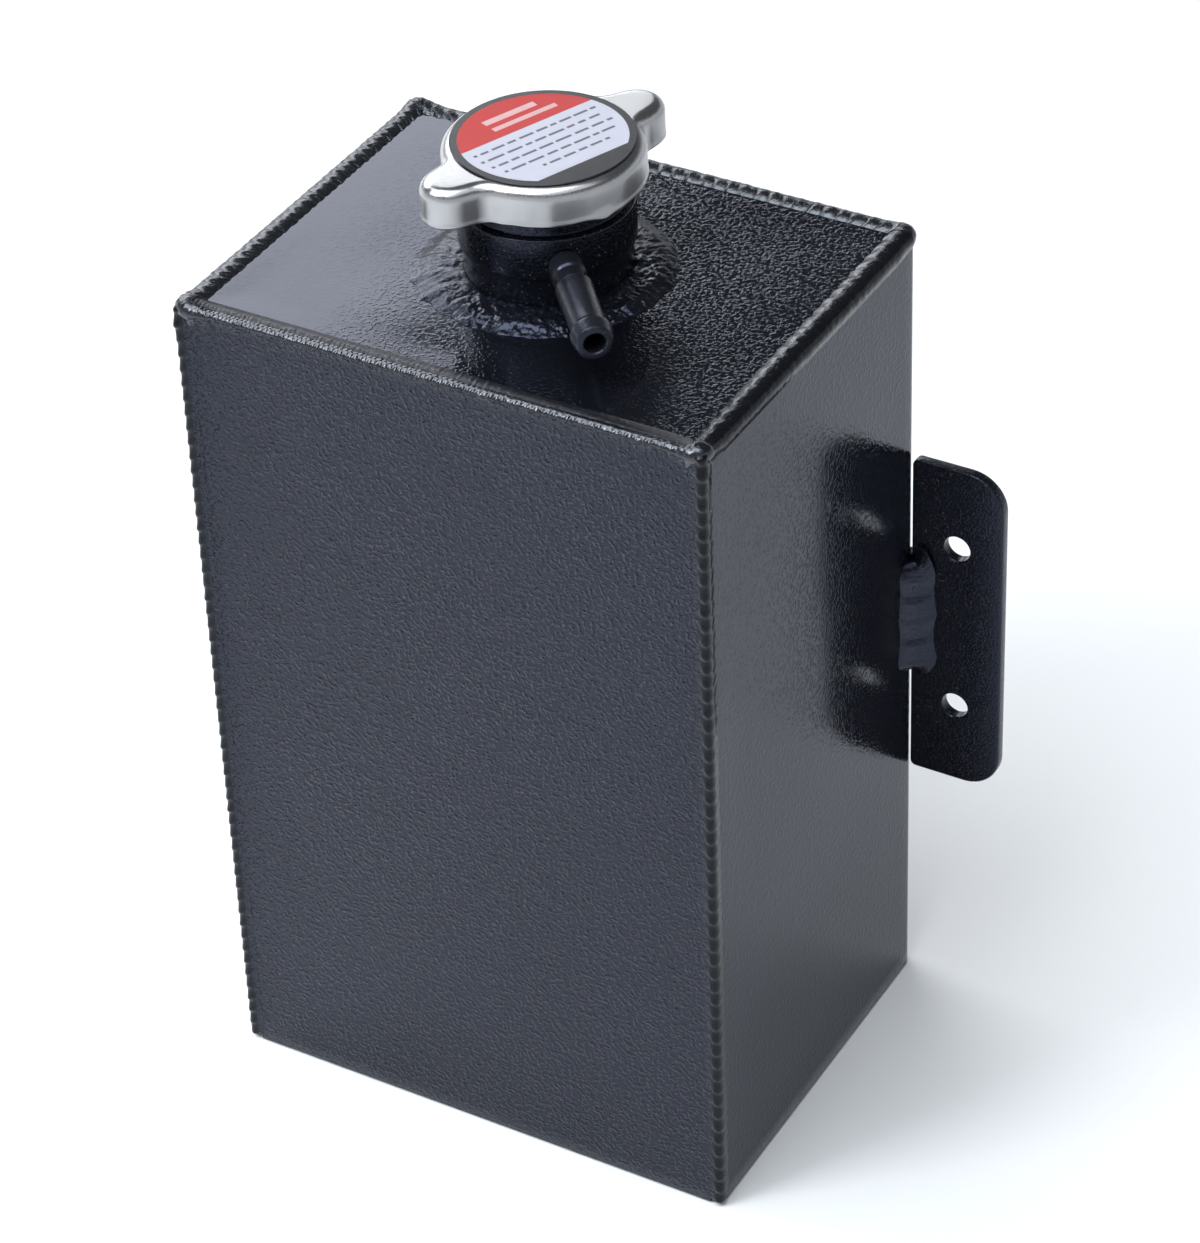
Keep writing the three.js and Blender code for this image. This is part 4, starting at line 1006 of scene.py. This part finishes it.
def bracket_front_weld(side):
    nm = "right" if side > 0 else "left"
    z0, z1 = 92.3, 123.2
    nz, ns = 150, 22
    a, b = 6.0, 6.7                     # reach on the side sheet (towards -Y) and on the bracket (towards +X)
    rows = []
    for i in range(nz + 1):
        f = i / nz
        z = z0 + (z1 - z0) * f
        end = min(1.0, min(f, 1 - f) * 9.0)
        sz = math.sqrt(max(0.0, 1 - (1 - end) ** 2))
        pit = 6.1
        row = []
        for k in range(ns + 1):
            w = k / ns
            ph = (z - z0 + 2.6 * math.sin(math.pi * w)) / pit
            rp = ripple(ph)
            swell = 0.93 + 0.04 * rp + 0.10 * noise.noise(Vector((z * 0.16, 2, side)))
            th = math.pi / 2 * w            # 0 on the bracket, 90 deg on the side sheet
            ra = b * (1 - w) + a * w
            # fuller than a flat fillet: a superellipse section
            c, s = max(0.0, math.cos(th)) ** 1.85, max(0.0, math.sin(th)) ** 1.85
            bul = 0.80 + 0.13 * math.sin(2 * th) * 0.0
            u = b * c * swell * (0.30 + 0.70 * sz) * (bul + (1 - bul) * abs(math.cos(2 * th)))
            v = a * s * swell * (0.30 + 0.70 * sz) * (bul + (1 - bul) * abs(math.cos(2 * th)))
            rip = 0.34 * (rp - 0.45) * math.sin(math.pi * w) * sz
            nz_ = 0.16 * n3(u * 3, v * 3, z, 1.6, 3 + side) * math.sin(math.pi * w)
            u += math.cos(th) * (rip + nz_) * 0.9
            v += math.sin(th) * (rip + nz_) * 0.9
            # spur of weld left where the torch lifted off
            spur = math.exp(-((z - 123.2) / 3.8) ** 2) * math.exp(-((w - 0.16) / 0.12) ** 2)
            u += 0.35 * spur
            v += 0.6 * spur
            zz = z + 4.6 * math.exp(-((f - 1) / 0.10) ** 2) * math.exp(-((w - 0.20) / 0.13) ** 2)
            zz -= 1.8 * math.exp(-(f / 0.10) ** 2) * math.exp(-((w - 0.1) / 0.15) ** 2)
            row.append((side * (HX + max(u, 0.0)), HY - SHEET - max(v, 0.0), zz))
        row.append((side * (HX - 0.3), HY - SHEET + 0.3, z))
        rows.append(row)
    n = len(rows[0])
    verts = [p for r in rows for p in r]
    faces = []
    for i in range(nz):
        for k in range(n):
            p, q = i * n + k, i * n + (k + 1) % n
            faces.append((p, q, q + n, p + n))
    faces.append(tuple(range(n)))
    faces.append(tuple(range(nz * n, (nz + 1) * n)))
    make(f"bracket_{nm}_weld_front_run", verts, faces, POWDER_NECK_WELD, "tank", [f"bracket_{nm}_weld_front"], 60)


def bracket_back_weld(side):
    nm = "right" if side > 0 else "left"
    z0, z1, nz = 94.0, 124.0, 60
    # groove between the bend's radius and the bracket's inner edge
    arc = []
    for k in range(7):
        a = rad(8 + k * 10.3)
        arc.append(((BEND + 0.04) * math.cos(a) - BEND, (BEND + 0.04) * math.sin(a) - BEND))
    rows = []
    for i in range(nz + 1):
        f = i / nz
        z = z0 + (z1 - z0) * f
        rp = ripple((z - z0) / 2.6)
        surf = []
        for k in range(8):
            w = k / 7
            u = 0.12 + (arc[-1][0] - 0.12) * w
            d = -0.05 - 0.32 * (1 - rp) * math.sin(math.pi * w)
            surf.append((u, d))
        row = [(0.12, -2.4)] + surf + arc[::-1]
        rows.append([(side * (HX + u), HY + v, z) for u, v in row])
    n = len(rows[0])
    verts = [p for r in rows for p in r]
    faces = []
    for i in range(nz):
        for k in range(n):
            p, q = i * n + k, i * n + (k + 1) % n
            faces.append((p, q, q + n, p + n))
    faces.append(tuple(range(n)))
    faces.append(tuple(range(nz * n, (nz + 1) * n)))
    make(f"bracket_{nm}_weld_back_run", verts, faces, POWDER_BEAD, "tank", [f"bracket_{nm}_weld_back"], 50)


# ================================================================== pressure cap
def catmull(points, sub):
    out, n = [], len(points)
    for i in range(n):
        p0, p1, p2, p3 = (Vector(points[(i + k) % n]) for k in (-1, 0, 1, 2))
        for k in range(sub):
            t = k / sub
            out.append(0.5 * ((2 * p1) + (p2 - p0) * t + (2 * p0 - 5 * p1 + 4 * p2 - p3) * t * t + (3 * p1 - p0 - 3 * p2 + p3) * t ** 3))
    return out


def cap_outline(n=420):
    ear = [(31.6, 0), (31.35, 1.6), (30.55, 3.4), (29.1, 5.0), (27.2, 6.1), (24.9, 6.75), (22.9, 7.2), (21.4, 7.95), (20.4, 9.05), (19.65, 10.4)]
    a0 = math.atan2(10.4, 19.65)
    quarter = list(ear)
    for k in range(1, 10):
        a = a0 + (math.pi / 2 - a0) * k / 9
        quarter.append((22.2 * math.cos(a), 22.2 * math.sin(a)))
    pts = list(quarter)
    pts += [(-x, y) for x, y in reversed(quarter[:-1])]
    pts += [(-x, -y) for x, y in quarter[1:]]
    pts += [(x, -y) for x, y in reversed(quarter[1:-1])]
    dense = catmull(pts, 24)
    # even spacing
    L = [0.0]
    for i in range(len(dense)):
        L.append(L[-1] + (dense[(i + 1) % len(dense)] - dense[i]).length)
    out, j = [], 0
    for k in range(n):
        t = L[-1] * k / n
        while L[j + 1] < t:
            j += 1
        a, b = dense[j], dense[(j + 1) % len(dense)]
        out.append(a.lerp(b, (t - L[j]) / max(L[j + 1] - L[j], 1e-9)))
    return out


def cap_cover():
    base = cap_outline()
    n = len(base)
    norm = []
    for i in range(n):
        t = base[(i + 2) % n] - base[i - 2]
        norm.append(Vector((t.y, -t.x)).normalized())
    ang = [math.atan2(p.y, p.x) for p in base]
    rot = rad(EARS)
    c, s = math.cos(rot), math.sin(rot)

    def world(x, y, z):
        return (c * x - s * y, s * x + c * y, z)

    def lump(i, deg, width):
        a = (math.degrees(ang[i]) + EARS - deg + 180) % 360 - 180
        return math.exp(-(a / width) ** 2)

    def wave(i, z):
        # the drawn skirt isn't perfectly round: faint flutes that streak its reflections
        a = ang[i]
        low = smooth(242.5, 236, z)
        return low * (0.035 * math.sin(9 * a + 1.2) + 0.025 * math.sin(17 * a + 0.4) + 0.018 * math.sin(31 * a) + 0.05 * noise.noise(Vector((math.cos(a) * 3, math.sin(a) * 3, 0.4))))

    def outline(d, z, hem=0.0):
        out = []
        for i in range(n):
            k = wave(i, z)
            dz = 0.0
            if hem:
                ragged = 0.22 * noise.noise(Vector((math.cos(ang[i]) * 6, math.sin(ang[i]) * 6, 2.0)))
                l = lump(i, -25, 5.5) + lump(i, 155, 5.5)
                dz = hem * (ragged - 0.55 * l)
                k += hem * 0.30 * l
            p = base[i] + norm[i] * (k - d)
            out.append(world(p.x, p.y, z + dz))
        return out

    def circle(r, z):
        return [world(r * math.cos(a), r * math.sin(a), z) for a in ang]

    def blend(lp, circ, t):
        return [tuple(a[k] * (1 - t) + b[k] * t for k in range(3)) for a, b in zip(lp, circ)]
    outer = [outline(1.0, 233.55, 1), outline(0.85, 233.28, 1), outline(0.5, 233.2, 1), outline(0.12, 233.3, 1), outline(-0.1, 233.6, 1), outline(-0.12, 233.95, 1), outline(-0.02, 234.35, 0.7)]
    outer += [outline(0.0, z) for z in (235.0, 236.2, 237.4, 238.5, 239.35)]
    outer += [outline(d, z) for d, z in ((0.03, 239.75), (0.1, 240.15), (0.22, 240.55), (0.39, 240.92), (0.6, 241.23), (0.84, 241.49), (1.1, 241.71),
                                         (1.38, 241.89), (1.7, 242.03), (2.05, 242.13), (2.45, 242.19), (2.8, 242.2))]
    flat = outline(2.8, 242.2)
    ring = circle(19.0, 242.2)
    outer += [blend(flat, ring, t) for t in (0.3, 0.65, 1.0)]
    outer += [circle(r, z) for r, z in ((14, 242.2), (8.4, 242.2), (7.4, 242.1), (6.6, 241.75), (6.2, 241.4), (5.6, 241.12), (4.4, 241.1), (2.4, 241.1), (2.4, 240.1), (5.6, 240.1), (7.2, 240.25),
                                        (7.9, 241.1), (8.8, 241.2), (14, 241.2))]
    low = outline(2.7, 241.2)
    ring2 = circle(18.0, 241.2)
    outer += [blend(low, ring2, t) for t in (1.0, 0.5, 0.0)]
    outer += [outline(d, z) for d, z in ((1.7, 241.05), (1.2, 240.6), (1.0, 240.0), (1.0, 237.0), (1.0, 234.6))]
    v, f = loops_mesh(outer)
    ob = make("cap_cover_shell", v, f, [STAINLESS], None)
    for deg in (90, -90):
        pts, m = [], 10
        for k in range(m + 1):
            a = rad(deg + EARS - 13 + 26 * k / m)
            pts.append((21.55 * math.cos(a), 21.55 * math.sin(a)))
        for k in range(m + 1):
            a = rad(deg + EARS + 13 - 26 * k / m)
            pts.append((18.75 * math.cos(a), 18.75 * math.sin(a)))
        q = len(pts)
        cv = [(x, y, 233.45) for x, y in pts] + [(x, y, 234.3) for x, y in pts]
        cf = [tuple(range(q))[::-1], tuple(range(q, 2 * q))] + [(k, (k + 1) % q, q + (k + 1) % q, q + k) for k in range(q)]
        boolean(ob, make("c", cv, cf, [STAINLESS], None), "UNION")
    dress(ob, "cap_cover", ["cap_cover"], 30)


def cap_label():
    """printed disc: dark border, red and white fields and a dark foot, with plain bars where a print would be"""
    R, r, z0, z1 = 20.2, 18.45, 242.25, 242.6
    rot = rad(EARS)
    c, s = math.cos(rot), math.sin(rot)
    # local frame: chords run along local x, offsets along local y

    def world(x, y, z):
        return (c * x - s * y, s * x + c * y, z)
    cuts = (5.71, -13.97)
    angs = sorted([2 * math.pi * k / 180 for k in range(180)] + [a % (2 * math.pi) for y in cuts for a in (math.asin(y / r), math.pi - math.asin(y / r))])
    verts, faces, mats = [], [], []

    def ringv(rad_, z):
        b = len(verts)
        verts.extend(world(rad_ * math.cos(a), rad_ * math.sin(a), z) for a in angs)
        return b
    n = len(angs)
    b0, b1, b2, b3, b4 = ringv(r, z1), ringv(R - 0.16, z1), ringv(R, z1 - 0.12), ringv(R, z0 + 0.02), ringv(R - 0.1, z0)
    for a, b in ((b0, b1), (b1, b2), (b2, b3), (b3, b4)):
        for k in range(n):
            k2 = (k + 1) % n
            faces.append((a + k, b + k, b + k2, a + k2))
            mats.append(0)
    faces.append(tuple(b4 + k for k in range(n))[::-1])
    mats.append(0)
    ys = [r * math.sin(a) for a in angs]
    eps = 1e-6
    for lo, hi, mi in ((5.71, 99, 1), (-13.97, 5.71, 2), (-99, -13.97, 0)):
        idx = [k for k in range(n) if lo - eps <= ys[k] <= hi + eps]
        # the white field is two arcs, so it is ordered by angle about the centre of the field
        faces.append(tuple(b0 + k for k in idx))
        mats.append(mi)

    def bar(x0, x1, y0, y1, mi, h=0.022):
        b = len(verts)
        for z in (z1 - 0.004, z1 + h):
            verts.extend([world(x0, y0, z), world(x1, y0, z), world(x1, y1, z), world(x0, y1, z)])
        for q in ((3, 2, 1, 0), (4, 5, 6, 7), (0, 1, 5, 4), (1, 2, 6, 5), (2, 3, 7, 6), (3, 0, 4, 7)):
            faces.append(tuple(b + k for k in q))
            mats.append(mi)
    r3 = random.Random(21)
    # grey dashes in rows on the white field
    for row, y in enumerate((2.75, -0.35, -3.45, -6.55, -9.65)):
        half = math.sqrt(max(0, 16.6 ** 2 - (abs(y) + 0.5) ** 2))
        lo, hi = -half, half
        if row == 4:
            lo, hi = -half * 0.55, half * 0.8
        bar(lo, lo + 0.8, y - 0.3, y + 0.5, 3)
        x = lo + 1.7
        while x < hi - 1.0:
            L = r3.uniform(1.6, 4.2)
            if x + L > hi:
                L = hi - x
            bar(x, x + L, y - 0.36, y + 0.36, 3)
            x += L + r3.uniform(0.7, 1.1)
    for y, lo, hi, t in ((12.6, -6.4, 7.4, 0.95), (9.2, -6.4, 10.6, 0.75)):
        bar(lo, hi, y - t, y + t, 4)
    ob = make("cap_label_disc", verts, faces, [INK_BLACK, INK_RED, INK_WHITE, INK_GREY, INK_BAR], "cap_cover", ["cap_label"], 30, mats, merge=False)
    return ob


def coil(name, radius, wire, z0, z1, turns, body, nodes, sides=14, per=44):
    n = int(turns * per)
    flat = 0.75 / turns
    clamp = lambda x: min(1.0, max(0.0, x))
    rise = z1 - z0 - wire - 2 * 1.06 * wire * 0.75
    end = 1.06 * wire * 0.75
    path = []
    for i in range(n + 1):
        t = i / n
        live = clamp((t - flat) / (1 - 2 * flat))
        a = t * turns * 2 * math.pi
        z = z0 + wire / 2 + end * clamp(t / flat) + rise * live + end * clamp((t - 1 + flat) / flat)
        path.append(Vector((radius * math.cos(a), radius * math.sin(a), z)))
    verts, faces = [], []
    for i, p in enumerate(path):
        out = Vector((p.x, p.y, 0)).normalized()
        t = (path[min(i + 1, n)] - path[max(i - 1, 0)]).normalized()
        up = t.cross(out).normalized()
        for k in range(sides):
            a = 2 * math.pi * k / sides
            q = p + (out * math.cos(a) + up * math.sin(a)) * wire / 2
            verts.append(tuple(q))
    for i in range(n):
        for k in range(sides):
            a, b = i * sides + k, i * sides + (k + 1) % sides
            faces.append((a, b, b + sides, a + sides))
    faces.append(tuple(range(sides))[::-1])
    faces.append(tuple(range(n * sides, (n + 1) * sides)))
    return make(name, verts, faces, SPRING, body, nodes, 50)


def cap_inside():
    def turned(name, prof, mat, body, node_name, seg=96, angle=32):
        v, f = lathe(rounded(prof, 4), seg)
        make(name, v, f, mat, body, [node_name], angle)
    turned("cap_rivet_pin", [(0, 237.2), (3.6, 237.2, 0.3), (3.9, 238.1, 0.2), (2.0, 238.1, 0.1), (2.0, 241.2, 0.1), (4.4, 241.2, 0.15), (4.2, 241.75, 0.5), (0, 242.0)],
           RIVET, "cap_core", "cap_rivet", 48)
    turned("cap_spring_disc_plate", [(2.4, 239.6, 0.1), (15.5, 239.6, 1.0), (19.4, 239.3, 0.12), (19.4, 239.6, 0.12), (15.5, 239.9, 1.0), (2.4, 239.9, 0.1)],
           STAINLESS_IN, "cap_core", "cap_spring_disc")
    turned("top_gasket_ring", [(13.6, 238.35, 0.2), (19.0, 238.35, 0.3), (19.0, 239.15, 0.2), (15.5, 239.42, 0.4), (13.6, 239.42, 0.2)],
           RUBBER, "cap_core", "top_gasket")
    turned("cap_bell_cup", [(2.4, 238.25, 0.1), (9.2, 238.25, 0.6), (12.4, 232.0, 1.4), (12.4, 225.8, 0.1), (11.6, 225.8, 0.15), (11.6, 225.0, 0.15),
                            (13.3, 225.0, 0.6), (13.3, 232.2, 1.6), (12.2, 234.6, 1.2), (10.4, 238.2, 0.8), (10.0, 239.3, 0.4), (2.4, 239.3, 0.1)],
           STAINLESS_IN, "cap_core", "cap_bell", 112)
    spring = coil("pressure_spring_coil", 8.0, 1.6, 221.0, 237.9, 5.0, "cap_core", ["pressure_spring"])
    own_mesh(spring)
    turned("valve_plate_cup", [(2.5, 219.75, 0.15), (13.2, 219.75, 0.2), (13.2, 220.6, 0.2), (11.0, 220.6, 0.25), (11.0, 226.9, 0.15), (12.0, 226.9, 0.2), (12.0, 227.6, 0.2),
                               (10.2, 227.6, 0.4), (10.2, 220.75, 0.4), (2.5, 220.75, 0.15)], BRASS, "pressure_valve", "valve_plate")
    turned("pressure_seal_ring", [(4.6, 218.5, 0.25), (13.4, 218.5, 0.35), (13.4, 219.6, 0.25), (4.6, 219.6, 0.25)], RUBBER, "pressure_valve", "pressure_seal")
    turned("vacuum_valve_poppet", [(0, 217.1), (6.4, 217.1, 0.4), (6.7, 217.6, 0.3), (6.7, 218.35, 0.15), (1.4, 218.35, 0.3), (1.4, 225.3, 0.15), (3.7, 225.3, 0.15), (3.7, 226.1, 0.3), (0, 226.1)],
           BRASS, "vacuum_valve", "vacuum_valve", 64)
    spring = coil("vacuum_spring_coil", 3.0, 0.6, 220.9, 225.15, 4.0, "pressure_valve", ["vacuum_spring"], 10, 32)
    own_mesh(spring)


# ================================================================== build
wrap_shell()
front_panel()
top_plate()
bottom()
top_ring()
front_bead(-1)
front_bead(1)
filler_neck()
neck_weld()
overflow_spigot()
left_spigots()
for sd in (1, -1):
    bracket(sd)
    bracket_front_weld(sd)
    bracket_back_weld(sd)
cap_cover()
cap_label()
cap_inside()


# ================================================================== stage, light and camera
def floor_material():
    """plain pale studio sweep"""
    m, nt, p = tree("floor_pale")
    v = coords(nt)
    n = noise_tex(nt, v, 3.0, 2.0)
    nt.links.new(ramp(nt, n, [(0.3, (0.90, 0.90, 0.90)), (0.7, (0.91, 0.91, 0.91))]), p.inputs["Base Color"])
    p.inputs["Roughness"].default_value = 0.85
    p.inputs["Specular IOR Level"].default_value = 0.1
    return m


me = bpy.data.meshes.new("floor")
S = 3.5
me.from_pydata([(-S, -S, -0.0002), (S, -S, -0.0002), (S, S, -0.0002), (-S, S, -0.0002)], [], [(0, 1, 2, 3)])
floor = bpy.data.objects.new("floor", me)
bpy.context.scene.collection.objects.link(floor)
me.materials.append(floor_material())


def area(name, loc, target, size, power, color=(1, 1, 1), size_y=None):
    l = bpy.data.lights.new(name, "AREA")
    l.energy = power
    l.color = color
    l.shape = "RECTANGLE"
    l.size, l.size_y = size, size_y or size
    o = bpy.data.objects.new(name, l)
    bpy.context.scene.collection.objects.link(o)
    o.location = loc
    o.rotation_euler = (Vector(target) - Vector(loc)).to_track_quat("-Z", "Y").to_euler()
    return o


world = bpy.data.worlds.new("studio")
bpy.context.scene.world = world
world.use_nodes = True
wt = world.node_tree
bg = wt.nodes["Background"]
tc = wt.nodes.new("ShaderNodeTexCoord")
sx = wt.nodes.new("ShaderNodeSeparateXYZ")
wt.links.new(tc.outputs["Generated"], sx.inputs[0])
bg.inputs["Color"].default_value = (0.92, 0.955, 1.0, 1)
# pale walls all round, white at floor level and dimmer overhead: one soft vertical gradient
wt.links.new(math_node(wt, "MAXIMUM", maprange(wt, sx.outputs["Z"], 1.1, 0.0, 0.0, 0.2), maprange(wt, sx.outputs["Z"], 0.70, 0.11, 0.16, 0.40)), bg.inputs["Strength"])

area("softbox_back_left", (-1.90, 1.30, 1.225), (-1.90, 1.30, 0.0), 2.0, 64, (0.94, 0.965, 1.0), 2.4)
area("softbox_front_left", (-0.62, -0.90, 1.2), (0, 0, 0.15), 0.45, 10.2, (0.90, 0.95, 1.0))
area("softbox_overhead", (-0.10, -0.26, 0.80), (-0.10, -0.26, 0.0), 0.6, 5.8, (0.88, 0.94, 1.0))
area("softbox_ceiling", (1.0, -1.6, 3.2), (1.0, -1.6, 0.0), 4.4, 66, (0.90, 0.95, 1.0))

cam_data = bpy.data.cameras.new("camera")
cam_data.lens = 128.05
cam_data.sensor_width = 36.0
cam_data.sensor_fit = "AUTO"
cam_data.clip_start, cam_data.clip_end = 0.05, 50
cam = bpy.data.objects.new("camera", cam_data)
bpy.context.scene.collection.objects.link(cam)
az, el, roll = rad(30.97), rad(36.3), rad(-2.48)
back = Vector((math.sin(az) * math.cos(el), -math.cos(az) * math.cos(el), math.sin(el)))
right = Vector((math.cos(az), math.sin(az), 0))
up = back.cross(right)
xc = right * math.cos(roll) + up * math.sin(roll)
yc = -right * math.sin(roll) + up * math.cos(roll)
m = Matrix((xc, yc, back)).transposed().to_4x4()
m.translation = Vector((0.42951, -0.70079, 0.71744))
cam.matrix_world = m
bpy.context.scene.camera = cam
bpy.context.scene.view_settings.view_transform = "Standard"
bpy.context.scene.view_settings.look = "None"
